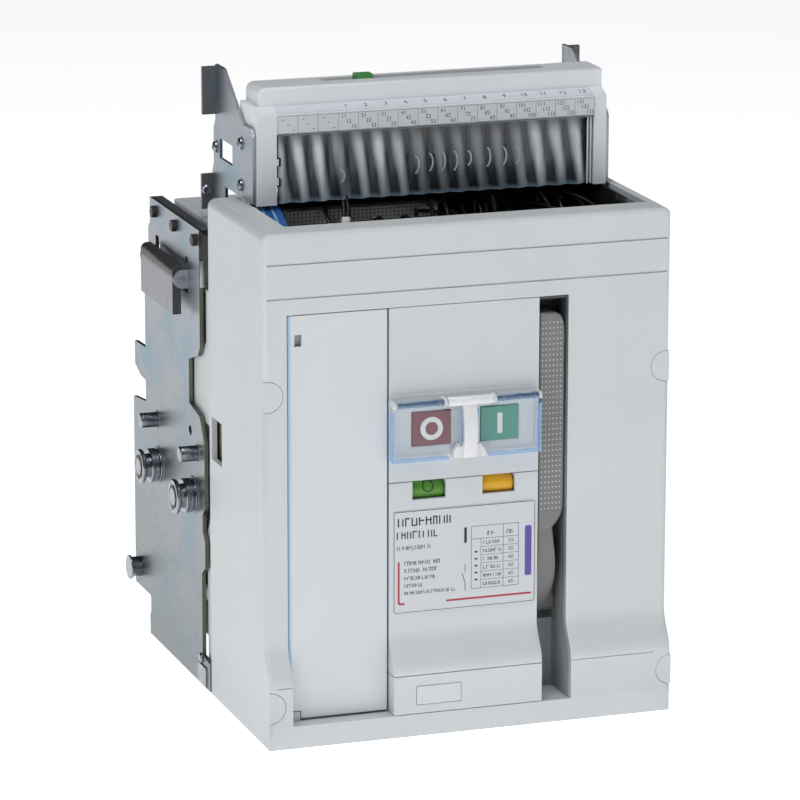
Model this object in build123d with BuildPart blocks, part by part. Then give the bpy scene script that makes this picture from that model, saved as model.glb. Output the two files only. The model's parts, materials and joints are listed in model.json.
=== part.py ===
"""Draw-out air circuit breaker, three poles, shown out of its cradle.

Millimetres, +Z up. The front cover's front plane is y = 0, +Y runs back, and
x = 0 is the middle of the cover. z = 0 is the surface that the breaker stands on.
"""

import os
from math import cos, radians, sin

from build123d import *

os.makedirs("parts", exist_ok=True)

# ---- driving dimensions ----------------------------------------------------
COVER_WIDTH = 260.0
COVER_HEIGHT = 317.0
COVER_DEPTH = 113.0
COVER_WALL = 3.5
HALF = COVER_WIDTH / 2
POLE_PITCH = 70.0
POLES = [-POLE_PITCH, 0.0, POLE_PITCH]
SIDES = (-1, 1)

# Front layout, x and z in the front plane.
CHIN = 10.0  # how far the lower front stands out
CHIN_TOP = 65.0
CHIN_SEAM = 39.0
PLINTH = 14.5
BAY_TOP = 267.4  # top of the recessed bay for door, panels and handle
DOOR_LEFT, DOOR_RIGHT = -115.4, -51.6
PANEL_LEFT, PANEL_RIGHT = -51.0, 44.9
SLOT_RIGHT = 63.8
DOOR_PIVOT, DOOR_PIN_R = (-113.2, 1.9), 1.0  # x, y
DOOR_FOOT_RIGHT, DOOR_FOOT_TOP = -108.2, 20.4
PANEL_SEAM = 158.5
PANEL_GAP = 0.4
SKIN = 3.0  # thickness of the front mouldings
GROOVES = (277.4, 298.2)
RIM_LEFT, RIM_RIGHT, RIM_FRONT = -110.5, 121.0, 20.0
# Screw plugs at the edges of the front, as x, z and the y of the face they sit in.
PLUGS = ((-127.5, 218.0, 0.0), (127.5, 218.0, 0.0), (-129.5, 27.0, -CHIN), (129.5, 27.0, -CHIN))
PLUG_R = 9.5

# Push buttons, flags and their windows.
BUTTON_Z = (181.0, 202.0)
OFF_X = (-37.0, -12.5)
ON_X = (7.0, 31.0)
STEM_END = 54.6  # the stems stop short of the latch paddles
FLAG_Z = (147.0, 158.1)
POSITION_X = (-36.0, -14.6)
CHARGE_X = (9.0, 30.0)
FLAG_AXIS = (9.5, 151.4)  # y, z
FLAG_R = 7.0

# Clear flaps over the buttons and the clasp between them.
ROD_Y, ROD_Z, ROD_R = -7.6, 208.5, 1.2
BARREL_R = 2.6
FLAP_BOTTOM = 173.0
FLAP_LEFT, FLAP_RIGHT = -51.4, 43.6
CLASP_X = (-16.6, 12.4)
STRAP_X = (-7.0, 1.6)

# Charging handle.
HANDLE_X = (45.9, 62.2)
HANDLE_TOP, HANDLE_WAIST, HANDLE_FOOT = 256.5, 121.0, 62.4
HANDLE_FRONT, HANDLE_BACK = 1.5, 20.0
HANDLE_PIVOT = (26.0, 72.0)  # y, z
HANDLE_PIN_R = 4.0

# Mechanism, all axes along X, given as (y, z).
CAM_AXIS = (70.0, 119.8)
CAM_R = 7.0
SECTOR_MODULE = 2.0
HANDLE_TEETH, LEVER_TEETH = 26, 39
MAIN_AXIS = (98.0, 158.0)
MAIN_R = 9.0
CONTACT_AXIS = (168.0, 92.0)
CONTACT_PIN_R = 6.0
DRIVE_ANGLE = 7.0  # contacts rest this far before the line of centres
TRIP_AXIS = (60.0, 226.0)
CLOSE_AXIS = (60.0, 176.0)
FRAME_X = ((-44.0, -41.5), (41.0, 43.5), (62.4, 64.4))
RUN = 0.05  # radial running clearance
JOINT_GAP = 0.02  # between bolted or riveted pieces of one node

# Pole housing, terminals and contacts.
HOUSING_HALF = 118.0
HOUSING_FRONT, HOUSING_SPLIT, HOUSING_BACK = 116.0, 172.0, 232.0
HOUSING_BOTTOM, HOUSING_TOP = 24.0, 293.0
HOUSING_WALL = 4.0
BAR_WIDTH = 40.0
BAR_THICK = 10.0
UPPER_BAR_Z, LOWER_BAR_Z = 190.0, 92.0
BAR_END = 262.0
CHUTE_HALF = 27.0

# Side plates.
PLATE_OUT, PLATE_IN = 130.0, 127.5
PLATE_TOP = 293.0
ROLLERS = ((149.8, 120.0), (227.8, 120.0))  # y, z
ROLLER_R, GROOVE_R, ROLLER_AXLE_R = 11.0, 7.7, 5.6
GUIDE_PINS = ((140.4, 149.5), (230.0, 149.5))
GUIDE_R, GUIDE_LENGTH, GUIDE_SHANK_R = 4.9, 12.0, 4.0
STOP_STUD = (274.6, 39.4)
LIFT_AXIS = (133.9, 257.7)  # |x|, z
LIFT_Y = (158.2, 229.8)
LIFT_PIN_R = 2.0
HEX_Y = (139.0, 184.0, 229.0)
HEX_Z = 286.0

# Terminal carrier above the cover.
CARRIER_X = (-109.0, 117.3)
CARRIER_BOX_LEFT = -105.1  # the upper box starts further in than the posts
WINDOW_X = (-96.5, 108.0)
CARRIER_FRONT, CARRIER_STEP, CARRIER_BACK = 78.0, 87.0, 113.0
CARRIER_BOTTOM, WINDOW_TOP, STRIP_TOP, STEP_TOP, CARRIER_TOP = 317.5, 361.0, 373.0, 377.0, 388.5
COLUMNS = 16
BLOCK_PITCH = 12.5
BRACKET_T = 2.0
BRACKET_FACES = {-1: 111.3, 1: 119.8}  # outer |x| of the left and the right bracket
BRACKET_HOLES = ((103.5, 352.0), (104.0, 326.0))  # y, z
SCREW_ENDS = {-1: 106.5, 1: 113.5}  # |x| where the bracket screws end inside the carrier


# ---- helpers ---------------------------------------------------------------
def block(x, y, z, mode=Mode.ADD):
    """A box between (low, high) pairs, added to the part being built."""
    with Locations(((x[0] + x[1]) / 2, (y[0] + y[1]) / 2, (z[0] + z[1]) / 2)):
        Box(x[1] - x[0], y[1] - y[0], z[1] - z[0], mode=mode)


def rod_x(x, yz, radius, mode=Mode.ADD):
    """A cylinder along X."""
    with Locations(Location(((x[0] + x[1]) / 2, yz[0], yz[1]), (0, 90, 0))):
        Cylinder(radius, x[1] - x[0], mode=mode)


def rod_y(y, xz, radius, mode=Mode.ADD):
    """A cylinder along Y."""
    with Locations(Location((xz[0], (y[0] + y[1]) / 2, xz[1]), (90, 0, 0))):
        Cylinder(radius, y[1] - y[0], mode=mode)


def rod_z(z, xy, radius, mode=Mode.ADD):
    """A cylinder along Z."""
    with Locations((xy[0], xy[1], (z[0] + z[1]) / 2)):
        Cylinder(radius, z[1] - z[0], mode=mode)


def prism_x(points, x, mode=Mode.ADD):
    """A polygon of (y, z) points drawn out along X."""
    with BuildSketch(Plane.YZ.offset(x[0])) as profile:
        with BuildLine():
            Polyline(*points, close=True)
        make_face()
    extrude(profile.sketch, amount=x[1] - x[0], mode=mode)


def mirrored(side, x_pair):
    """The (low, high) pair that two |x| values make on the given side."""
    low, high = sorted((side * x_pair[0], side * x_pair[1]))
    return (low, high)


def sector_points(centre, teeth, first, last, inner_r):
    """Outline of a gear sector with teeth from the first to the last angle, closed at inner_r."""
    pitch_r = SECTOR_MODULE * teeth / 2
    step = 360.0 / teeth
    tip_r, root_r = pitch_r + 0.8 * SECTOR_MODULE, pitch_r - 1.1 * SECTOR_MODULE
    outline = []
    angle = first
    while angle <= last:
        for r, share in ((root_r, -0.34), (tip_r, -0.13), (tip_r, 0.13), (root_r, 0.34)):
            a = radians(angle + share * step)
            outline.append((centre[0] + r * cos(a), centre[1] + r * sin(a)))
        angle += step
    for a in (last + 4, first - 4):
        outline.append((centre[0] + inner_r * cos(radians(a)), centre[1] + inner_r * sin(radians(a))))
    return outline


def along(start, angle, distance):
    """The (y, z) point at a distance from start, at an angle in degrees from +Y."""
    return (start[0] + distance * cos(radians(angle)), start[1] + distance * sin(radians(angle)))


def chin_curve(foot_z, forward=CHIN, setback=0.0):
    """The smooth flare of the lower front, from its foot up to where it meets the front plane."""
    Bezier((setback - forward, foot_z), (setback - forward, 50.0), (setback, 54.0), (setback, CHIN_TOP))


# ---- front cover and its panels ---------------------------------------------
with BuildPart() as front_cover:
    with BuildSketch(Plane.YZ.offset(-HALF)):
        with BuildLine():
            Polyline((COVER_DEPTH, 0), (-CHIN + 1.5, 0), (-CHIN, PLINTH), (-CHIN, CHIN_SEAM))
            chin_curve(CHIN_SEAM)
            Polyline((0, CHIN_TOP), (0, COVER_HEIGHT), (COVER_DEPTH, COVER_HEIGHT), (COVER_DEPTH, 0))
        make_face()
    extrude(amount=COVER_WIDTH)
    top_edges = front_cover.edges().filter_by(Axis.Y).group_by(Axis.Z)[-1]
    fillet(top_edges, 5.0)
    fillet(front_cover.edges().filter_by(Axis.X).group_by(Axis.Z)[-1].sort_by(Axis.Y)[0], 3.0)
    inner_x = (-HALF + COVER_WALL, HALF - COVER_WALL)
    block(inner_x, (COVER_WALL, COVER_DEPTH + 1), (COVER_WALL, COVER_HEIGHT - COVER_WALL), Mode.SUBTRACT)
    block(inner_x, (-CHIN + COVER_WALL, COVER_WALL + 1), (COVER_WALL, PLINTH - COVER_WALL), Mode.SUBTRACT)
    block((SLOT_RIGHT + COVER_WALL, HALF - COVER_WALL), (-CHIN + COVER_WALL, COVER_WALL + 1),
          (COVER_WALL, CHIN_SEAM), Mode.SUBTRACT)
    block((DOOR_LEFT, SLOT_RIGHT), (-CHIN - 1, COVER_WALL + 1), (PLINTH, BAY_TOP), Mode.SUBTRACT)
    block((RIM_LEFT, RIM_RIGHT), (RIM_FRONT, COVER_DEPTH + 1),
          (COVER_HEIGHT - 9, COVER_HEIGHT + 1), Mode.SUBTRACT)
    for groove_z in GROOVES:
        block((-HALF + 2.5, HALF - 2.5), (-1, 0.9), (groove_z - 0.55, groove_z + 0.55), Mode.SUBTRACT)
    # Fine seams that carry the line of the fascia on across both sides.
    for seam_x in ((-126.0, DOOR_LEFT), (SLOT_RIGHT, 118.0)):
        block(seam_x, (-CHIN - 1, -CHIN + 0.6), (CHIN_SEAM - 0.3, CHIN_SEAM + 0.3), Mode.SUBTRACT)
    # Shelf under the charging handle, and the foot that the door's hinge pin stands in.
    block((PANEL_RIGHT + 0.3, SLOT_RIGHT + COVER_WALL), (COVER_WALL - 0.5, 22.0),
          (PLINTH - COVER_WALL, PLINTH))
    block((-115.4, DOOR_FOOT_RIGHT), (-0.8, 3.5), (PLINTH - 1, DOOR_FOOT_TOP))
    # Look-through window in the left side, near the back edge.
    block((-HALF - 1, -HALF + COVER_WALL + 1), (87.0, 108.5), (153.5, 180.8), Mode.SUBTRACT)
    for plug_x, plug_z, plug_y in PLUGS:
        rod_y((plug_y - 1, plug_y + 2.2), (plug_x, plug_z), PLUG_R + 0.25, Mode.SUBTRACT)
    # Pivot holes of the door, in the plinth and in the head of the bay.
    rod_z((PLINTH - 2.5, DOOR_FOOT_TOP + 1), DOOR_PIVOT, DOOR_PIN_R + RUN, Mode.SUBTRACT)
    rod_z((BAY_TOP - 1, BAY_TOP + 2.5), DOOR_PIVOT, DOOR_PIN_R + RUN, Mode.SUBTRACT)
front_cover.part.label = "front_cover"
export_step(front_cover.part, "parts/front_cover.step")

with BuildPart() as cover_screw_plugs:
    for plug_x, plug_z, plug_y in PLUGS:
        rod_y((plug_y + 0.15, plug_y + 2.2), (plug_x, plug_z), PLUG_R)
        slot_x = plug_x - 4 if plug_x > 0 else plug_x + 4
        block((slot_x - 0.8, slot_x + 0.8), (plug_y - 1, plug_y + 0.9), (plug_z - 4, plug_z + 4),
              Mode.SUBTRACT)
    block((-HALF - 20, -HALF), (-20, 20), (0, COVER_HEIGHT), Mode.SUBTRACT)
    block((HALF, HALF + 20), (-20, 20), (0, COVER_HEIGHT), Mode.SUBTRACT)
cover_screw_plugs.part.label = "cover_screw_plugs"
export_step(cover_screw_plugs.part, "parts/cover_screw_plugs.step")

with BuildPart() as control_panel:
    block((PANEL_LEFT, PANEL_RIGHT), (0, 12), (PANEL_SEAM + PANEL_GAP, BAY_TOP - PANEL_GAP))
    block((PANEL_LEFT + SKIN, PANEL_RIGHT - SKIN), (SKIN, 13),
          (PANEL_SEAM + SKIN, BAY_TOP - SKIN), Mode.SUBTRACT)
    for window_x in (OFF_X, ON_X):
        block((window_x[0] - PANEL_GAP, window_x[1] + PANEL_GAP), (-1, SKIN + 1),
              (BUTTON_Z[0] - PANEL_GAP, BUTTON_Z[1] + PANEL_GAP), Mode.SUBTRACT)
control_panel.part.label = "control_panel"
export_step(control_panel.part, "parts/control_panel.step")

with BuildPart() as lower_panel:
    with BuildSketch(Plane.YZ.offset(PANEL_LEFT)):
        with BuildLine():
            chin_curve(CHIN_SEAM + PANEL_GAP)
            Polyline((0, CHIN_TOP), (0, PANEL_SEAM), (12, PANEL_SEAM), (12, CHIN_SEAM + PANEL_GAP),
                     (-CHIN, CHIN_SEAM + PANEL_GAP))
        make_face()
    extrude(amount=PANEL_RIGHT - PANEL_LEFT)
    prism_x([(13, PANEL_SEAM - SKIN), (SKIN, PANEL_SEAM - SKIN), (SKIN, CHIN_TOP), (-CHIN + 5, 45),
             (-CHIN + 5, 42.5), (13, 42.5)], (PANEL_LEFT + SKIN, PANEL_RIGHT - SKIN), Mode.SUBTRACT)
    for window_x in (POSITION_X, CHARGE_X):
        block(window_x, (-1, 13), (FLAG_Z[0], PANEL_SEAM + 1), Mode.SUBTRACT)
lower_panel.part.label = "lower_panel"
export_step(lower_panel.part, "parts/lower_panel.step")

MARKER_X, MARKER_Z = (-36.7, -7.6), (20.2, 32.3)
with BuildPart() as lower_fascia:
    block((PANEL_LEFT, PANEL_RIGHT), (-CHIN, 12), (PLINTH + PANEL_GAP, CHIN_SEAM))
    block((PANEL_LEFT + SKIN, PANEL_RIGHT - SKIN), (-CHIN + SKIN, 13),
          (PLINTH + SKIN, CHIN_SEAM - SKIN), Mode.SUBTRACT)
    block(MARKER_X, (-CHIN - 1, -CHIN + 0.8), MARKER_Z, Mode.SUBTRACT)
lower_fascia.part.label = "lower_fascia"
export_step(lower_fascia.part, "parts/lower_fascia.step")

# The rating plate on the lower panel and the small marker plate on the fascia.
with BuildPart() as label_plates:
    block((-48.3, 43.0), (-0.6, 0), (76.5, 140.5))
    fillet(label_plates.edges().filter_by(Axis.Y), 1.5)
    block((MARKER_X[0] + 0.3, MARKER_X[1] - 0.3), (-CHIN - 0.1, -CHIN + 0.8),
          (MARKER_Z[0] + 0.3, MARKER_Z[1] - 0.3))
label_plates.part.label = "label_plates"
export_step(label_plates.part, "parts/label_plates.step")

# The bezel carries the hinge rod on four lugs, and the rod's ends are riveted in it.
LUGS_X = ((-51.4, -49.6), (-19.0, -17.0), (12.8, 14.6), (41.8, 43.6))
with BuildPart() as button_bezel:
    block((-49.5, 41.5), (-1.2, 0), (176.0, 213.0))
    for window_x in (OFF_X, ON_X):
        block((window_x[0] - PANEL_GAP, window_x[1] + PANEL_GAP), (-2, 1),
              (BUTTON_Z[0] - PANEL_GAP, BUTTON_Z[1] + PANEL_GAP), Mode.SUBTRACT)
    for lug_x in LUGS_X:
        block(lug_x, (ROD_Y, 0), (ROD_Z - 2.2, ROD_Z + 2.2))
        rod_x(lug_x, (ROD_Y, ROD_Z), 2.2)
    block((-50.8, 42.6), (-1.2, 0), (206.5, 212.0))
    rod_x((LUGS_X[0][0], LUGS_X[-1][1]), (ROD_Y, ROD_Z), ROD_R)
button_bezel.part.label = "button_bezel"
export_step(button_bezel.part, "parts/button_bezel.step")


def flap_body(x, barrel_x):
    """A clear tray-shaped flap with its hinge barrel, around the rod."""
    y_out, y_in = -8.6, -6.8
    block(x, (y_out, y_in), (FLAP_BOTTOM, ROD_Z - 1.5))
    outer_edge = (x[0], x[0] + 1.6) if x[0] < -20 else (x[1] - 1.6, x[1])
    block(outer_edge, (y_in, -2.2), (FLAP_BOTTOM, ROD_Z - 4.5))
    block(x, (y_in, -2.2), (FLAP_BOTTOM, FLAP_BOTTOM + 1.6))
    rod_x(barrel_x, (ROD_Y, ROD_Z), BARREL_R)
    # Room for the clasp: its barrel above, its foot below.
    block((CLASP_X[0] - 0.6, CLASP_X[1] + 0.4), (-14, 0), (ROD_Z - 5.5, ROD_Z + 4), Mode.SUBTRACT)
    block((CLASP_X[0] + 1.5, CLASP_X[1] - 1.5), (-14, 0), (FLAP_BOTTOM - 1, FLAP_BOTTOM + 10.0),
          Mode.SUBTRACT)
    for lug_x in LUGS_X:
        block((lug_x[0] - 0.3, lug_x[1] + 0.3), (-14, 0), (ROD_Z - 5.0, ROD_Z + 4), Mode.SUBTRACT)
    rod_x((-60, 60), (ROD_Y, ROD_Z), ROD_R + RUN, Mode.SUBTRACT)


with BuildPart() as flap_left:
    flap_body((FLAP_LEFT, STRAP_X[0] - 0.6), (-49.2, -19.4))
flap_left.part.label = "flap_left"
export_step(flap_left.part, "parts/flap_left.step")

with BuildPart() as flap_right:
    flap_body((STRAP_X[1] + 0.6, FLAP_RIGHT), (15.0, 41.4))
flap_right.part.label = "flap_right"
export_step(flap_right.part, "parts/flap_right.step")

with BuildPart() as flap_clasp:
    rod_x(CLASP_X, (ROD_Y, ROD_Z), BARREL_R + 0.2)
    with BuildSketch(Plane.YZ.offset(STRAP_X[0])):
        with BuildLine():
            Spline((ROD_Y - 1.2, ROD_Z - 1), (-12.2, 192.0), (-9.6, FLAP_BOTTOM + 0.4))
            Line((-9.6, FLAP_BOTTOM + 0.4), (-5.0, FLAP_BOTTOM + 0.4))
            Line((-5.0, FLAP_BOTTOM + 0.4), (-7.4, 180.0))
            Spline((-7.4, 180.0), (-10.0, 192.0), (ROD_Y + 1.6, ROD_Z - 1))
            Line((ROD_Y + 1.6, ROD_Z - 1), (ROD_Y - 1.2, ROD_Z - 1))
        make_face()
    extrude(amount=STRAP_X[1] - STRAP_X[0])
    with BuildSketch(Plane.XZ.offset(3.0)):
        with Locations((-2.4, FLAP_BOTTOM + 0.4)):
            Circle(10.5)
        with Locations((-2.4, FLAP_BOTTOM - 9.6)):
            Rectangle(30, 20, mode=Mode.SUBTRACT)
        with Locations((-2.4, FLAP_BOTTOM + 18.6)):
            Rectangle(30, 20, mode=Mode.SUBTRACT)
    extrude(amount=5.0)
    rod_x((-60, 60), (ROD_Y, ROD_Z), ROD_R + RUN, Mode.SUBTRACT)
flap_clasp.part.label = "flap_clasp"
export_step(flap_clasp.part, "parts/flap_clasp.step")


# ---- push buttons and flags ---------------------------------------------------
def push_button(x):
    """A button cap with a stem and the collar that its return spring pushes on."""
    block(x, (-2.2, 9), BUTTON_Z)
    block((x[0] + 2, x[1] - 2), (1.5, 10), (BUTTON_Z[0] + 2, BUTTON_Z[1] - 2), Mode.SUBTRACT)
    stem = ((x[0] + x[1]) / 2, (BUTTON_Z[0] + BUTTON_Z[1]) / 2)
    rod_y((0, STEM_END), stem, 3.0)
    rod_y((9.0, 11.0), stem, 9.0)


with BuildPart() as off_button:
    push_button(OFF_X)
off_button.part.label = "off_button"
export_step(off_button.part, "parts/off_button.step")

with BuildPart() as on_button:
    push_button(ON_X)
on_button.part.label = "on_button"
export_step(on_button.part, "parts/on_button.step")

# Coil springs drawn at the length they have when the buttons are pressed.
SPRING_SEAT_Y = 30.0
TURN_R, TURN_WIRE_R, TURN_START, TURN_PITCH = 5.5, 0.7, 17.6, 2.6
with BuildPart() as button_springs:
    for window_x in (OFF_X, ON_X):
        stem = ((window_x[0] + window_x[1]) / 2, (BUTTON_Z[0] + BUTTON_Z[1]) / 2)
        for turn in range(5):
            turn_y = TURN_START + TURN_PITCH * turn
            with Locations(Location((stem[0], turn_y, stem[1]), (90, 0, 0))):
                Torus(TURN_R, TURN_WIRE_R)
            if turn:
                block((stem[0] + TURN_R - 0.3, stem[0] + TURN_R + 0.3), (turn_y - TURN_PITCH, turn_y),
                      (stem[1] - 0.3, stem[1] + 0.3))
button_springs.part.label = "button_springs"
export_step(button_springs.part, "parts/button_springs.step")


def flag_drum(x):
    """A quarter-round flag on a small shaft, seen through its window."""
    inside = (x[0] + 0.6, x[1] - 0.6)
    rod_x(inside, FLAG_AXIS, FLAG_R)
    behind = FLAG_AXIS[0] + 2
    block(inside, (behind, behind + 20), (FLAG_AXIS[1] - 20, FLAG_AXIS[1] + 20), Mode.SUBTRACT)
    rod_x(inside, FLAG_AXIS, 3.0)
    rod_x((x[0] - 3.0, x[1] + 3.0), FLAG_AXIS, 1.5)


with BuildPart() as position_flag:
    flag_drum(POSITION_X)
position_flag.part.label = "position_flag"
export_step(position_flag.part, "parts/position_flag.step")

with BuildPart() as charge_flag:
    flag_drum(CHARGE_X)
charge_flag.part.label = "charge_flag"
export_step(charge_flag.part, "parts/charge_flag.step")

# ---- door, blank panel and trip unit -------------------------------------------
with BuildPart() as trip_door:
    block((DOOR_PIVOT[0], DOOR_RIGHT - 0.6), (0.2, SKIN), (PLINTH + 1.5, BAY_TOP - 0.6))
    rod_z((PLINTH + 1.5, BAY_TOP - 0.6), DOOR_PIVOT, 1.7)
    # Slot for the locking tab, and a notch that swings clear of the hinge foot.
    block((-110.6, -106.0), (-1, SKIN + 1), (247.7, 255.0), Mode.SUBTRACT)
    block((DOOR_LEFT, DOOR_PIVOT[0] + 6.0), (-1, SKIN + 1), (PLINTH, DOOR_FOOT_TOP + 0.5), Mode.SUBTRACT)
    rod_z((PLINTH - 2.0, BAY_TOP + 2.0), DOOR_PIVOT, DOOR_PIN_R)
trip_door.part.label = "trip_door"
export_step(trip_door.part, "parts/trip_door.step")

with BuildPart() as blank_panel:
    block((-114.6, DOOR_RIGHT - 0.3), (4.4, 7.0), (PLINTH + 0.3, BAY_TOP + 8))
blank_panel.part.label = "blank_panel"
export_step(blank_panel.part, "parts/blank_panel.step")

with BuildPart() as trip_unit:
    block((-116.0, -55.0), (7.5, 84.0), (42.0, 262.0))
    fillet(trip_unit.edges().filter_by(Axis.Y), 3.0)
    for fin in range(6):
        block((-112.0, -59.0), (80.5, 85), (60.0 + 32 * fin, 64.0 + 32 * fin), Mode.SUBTRACT)
trip_unit.part.label = "trip_unit"
export_step(trip_unit.part, "parts/trip_unit.step")

# ---- charging handle in its recess, ratchet and camshaft -------------------------
RECESS_X = (62.6, SLOT_RIGHT - 0.2)
RECESS_BACK = (20.6, 22.2)
with BuildPart() as handle_recess:
    # Right wall, its front edge following the flare of the cover.
    with BuildSketch(Plane.YZ.offset(RECESS_X[0])):
        with BuildLine():
            chin_curve(CHIN_SEAM, setback=0.5)
            Polyline((0.5, CHIN_TOP), (0.5, BAY_TOP - 0.4), (19.6, BAY_TOP - 0.4), (19.6, PLINTH + 0.2),
                     (0.5 - CHIN, PLINTH + 0.2), (0.5 - CHIN, CHIN_SEAM))
        make_face()
    extrude(amount=RECESS_X[1] - RECESS_X[0])
    for low, high, corner_high in ((182.0, BAY_TOP - 0.4, BAY_TOP - 0.4), (PLINTH + 0.2, 58.4, 56.6)):
        block((PANEL_RIGHT + 0.3, RECESS_X[0] - 0.4), RECESS_BACK, (low, high))
        block((RECESS_X[0] - 0.4, RECESS_X[1]), (19.0, RECESS_BACK[1]), (low, corner_high))
    block((PANEL_RIGHT + 0.3, RECESS_X[0]), RECESS_BACK, (106.0, 182.0))
    block((PANEL_RIGHT + 0.3, RECESS_X[1]), (0.5, RECESS_BACK[1]), (BAY_TOP - 1.8, BAY_TOP - 0.4))
handle_recess.part.label = "handle_recess"
export_step(handle_recess.part, "parts/handle_recess.step")

SECTOR_X = (55.4, 60.0)
TOWARD_CAM = 47.4  # angle of the line of centres from the handle pivot, in degrees
with BuildPart() as charging_handle:
    # Neck: a side profile that bends back to the hub, trimmed to a leaf seen from the front.
    with BuildSketch(Plane.YZ.offset(HANDLE_X[0] + 0.6)):
        with BuildLine():
            Spline((3.5, HANDLE_WAIST + 4), (3.5, 104.0), (7.5, 84.0), (19.0, HANDLE_FOOT))
            Polyline((19.0, HANDLE_FOOT), HANDLE_PIVOT, (19.5, 112.0), (19.5, HANDLE_WAIST + 4),
                     (3.5, HANDLE_WAIST + 4))
        make_face()
    extrude(amount=HANDLE_X[1] - HANDLE_X[0])
    with BuildSketch(Plane.XZ.offset(-HANDLE_PIVOT[0] - 1)):
        with BuildLine():
            Spline((54.8, HANDLE_WAIST + 5), (58.3, 96.0), (54.8, 71.0), (48.0, HANDLE_FOOT - 1))
            Polyline((48.0, HANDLE_FOOT - 1), (HANDLE_X[0] + 0.6, HANDLE_FOOT - 1),
                     (HANDLE_X[0] + 0.6, HANDLE_WAIST + 5), (54.8, HANDLE_WAIST + 5))
        make_face()
    extrude(amount=HANDLE_PIVOT[0] + 5, mode=Mode.INTERSECT)
    # Grip: straight on the left, a broad curve over the top right and under the bottom right.
    with BuildSketch(Plane.XZ.offset(-HANDLE_BACK)):
        with BuildLine():
            Polyline((54.6, HANDLE_WAIST), (HANDLE_X[0], HANDLE_WAIST), (HANDLE_X[0], HANDLE_TOP),
                     (54.0, HANDLE_TOP))
            Bezier((54.0, HANDLE_TOP), (60.3, HANDLE_TOP), (HANDLE_X[1], 252.0), (HANDLE_X[1], 244.0))
            Line((HANDLE_X[1], 244.0), (HANDLE_X[1], 138.0))
            Bezier((HANDLE_X[1], 138.0), (HANDLE_X[1], 128.0), (58.0, 125.0), (54.6, HANDLE_WAIST))
        make_face()
    extrude(amount=HANDLE_BACK - HANDLE_FRONT)
    fillet(charging_handle.faces().sort_by(Axis.Y)[0].edges(), 1.2)
    rod_x((HANDLE_X[0] + 0.6, HANDLE_X[1] - 0.6), HANDLE_PIVOT, 10.0)
    prism_x(sector_points(HANDLE_PIVOT, HANDLE_TEETH, TOWARD_CAM - 5.5 * 360 / HANDLE_TEETH,
                          TOWARD_CAM + 1.6 * 360 / HANDLE_TEETH, 4.0), SECTOR_X)
    rod_x((40, 70), HANDLE_PIVOT, HANDLE_PIN_R + RUN, Mode.SUBTRACT)
charging_handle.part.label = "charging_handle"
export_step(charging_handle.part, "parts/charging_handle.step")

TOWARD_HANDLE = 180 + TOWARD_CAM
with BuildPart() as pawl_lever:
    rod_x(SECTOR_X, CAM_AXIS, 12.0)
    prism_x(sector_points(CAM_AXIS, LEVER_TEETH, TOWARD_HANDLE - 1 * 360 / LEVER_TEETH,
                          TOWARD_HANDLE + 6 * 360 / LEVER_TEETH, 6.0), SECTOR_X)
    # Pawl arm, up and forward, with the pawl lifted just clear of the ratchet.
    prism_x([along(CAM_AXIS, 100, 8), along(CAM_AXIS, 112, 34), along(CAM_AXIS, 124, 34),
             along(CAM_AXIS, 140, 8)], SECTOR_X)
    prism_x([along(CAM_AXIS, 112, 34), along(CAM_AXIS, 124, 34), along(CAM_AXIS, 122, 25.4),
             along(CAM_AXIS, 117, 25.4)], (49.0, SECTOR_X[1]))
    rod_x((40, 70), CAM_AXIS, CAM_R + RUN, Mode.SUBTRACT)
pawl_lever.part.label = "pawl_lever"
export_step(pawl_lever.part, "parts/pawl_lever.step")

RATCHET_TEETH = 24
with BuildPart() as camshaft:
    rod_x((FRAME_X[0][0] - 2, FRAME_X[2][1] + 2), CAM_AXIS, CAM_R)
    # Closing cam between the frame plates: a disc set off centre.
    rod_x((-30.0, -22.0), (CAM_AXIS[0] - 5.0, CAM_AXIS[1] + 2.0), 20.0)
    rod_x((13.0, 20.0), (CAM_AXIS[0] - 5.0, CAM_AXIS[1] + 2.0), 20.0)
    # Ratchet wheel, keyed on the shaft outside the frame.
    outline = []
    for tooth in range(RATCHET_TEETH):
        start = 360.0 / RATCHET_TEETH * tooth
        outline.append(along(CAM_AXIS, start, 24.0))
        outline.append(along(CAM_AXIS, start + 2.0, 20.5))
    prism_x(outline, (49.2, 53.2))
camshaft.part.label = "camshaft"
export_step(camshaft.part, "parts/camshaft.step")

# ---- closing spring and its carriage -----------------------------------------------
SPRING_XY = (-4.0, 44.0)
SPRING_Z = (62.0, 142.0)
SPRING_COILS = 9
with BuildPart() as closing_spring:
    rise = (SPRING_Z[1] - SPRING_Z[0] - 5.0) / (SPRING_COILS - 1)
    for turn in range(SPRING_COILS):
        with Locations((*SPRING_XY, SPRING_Z[0] + 2.5 + rise * turn)):
            Torus(13.0, 2.5)
        if turn:
            low = SPRING_Z[0] + 2.5 + rise * (turn - 1)
            block((SPRING_XY[0] + 12.0, SPRING_XY[0] + 14.0), (SPRING_XY[1] - 1, SPRING_XY[1] + 1),
                  (low, low + rise))
closing_spring.part.label = "closing_spring"
export_step(closing_spring.part, "parts/closing_spring.step")

with BuildPart() as spring_carriage:
    rod_z((142.3, 147.0), SPRING_XY, 15.6)
    rod_z((124.0, 142.3), SPRING_XY, 9.0)
    block((SPRING_XY[0] - 4, SPRING_XY[0] + 4), (SPRING_XY[1] - 4, SPRING_XY[1] + 4), (147, 154))
    rod_z((100, 160), SPRING_XY, 4.0 + RUN, Mode.SUBTRACT)
spring_carriage.part.label = "spring_carriage"
export_step(spring_carriage.part, "parts/spring_carriage.step")

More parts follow.
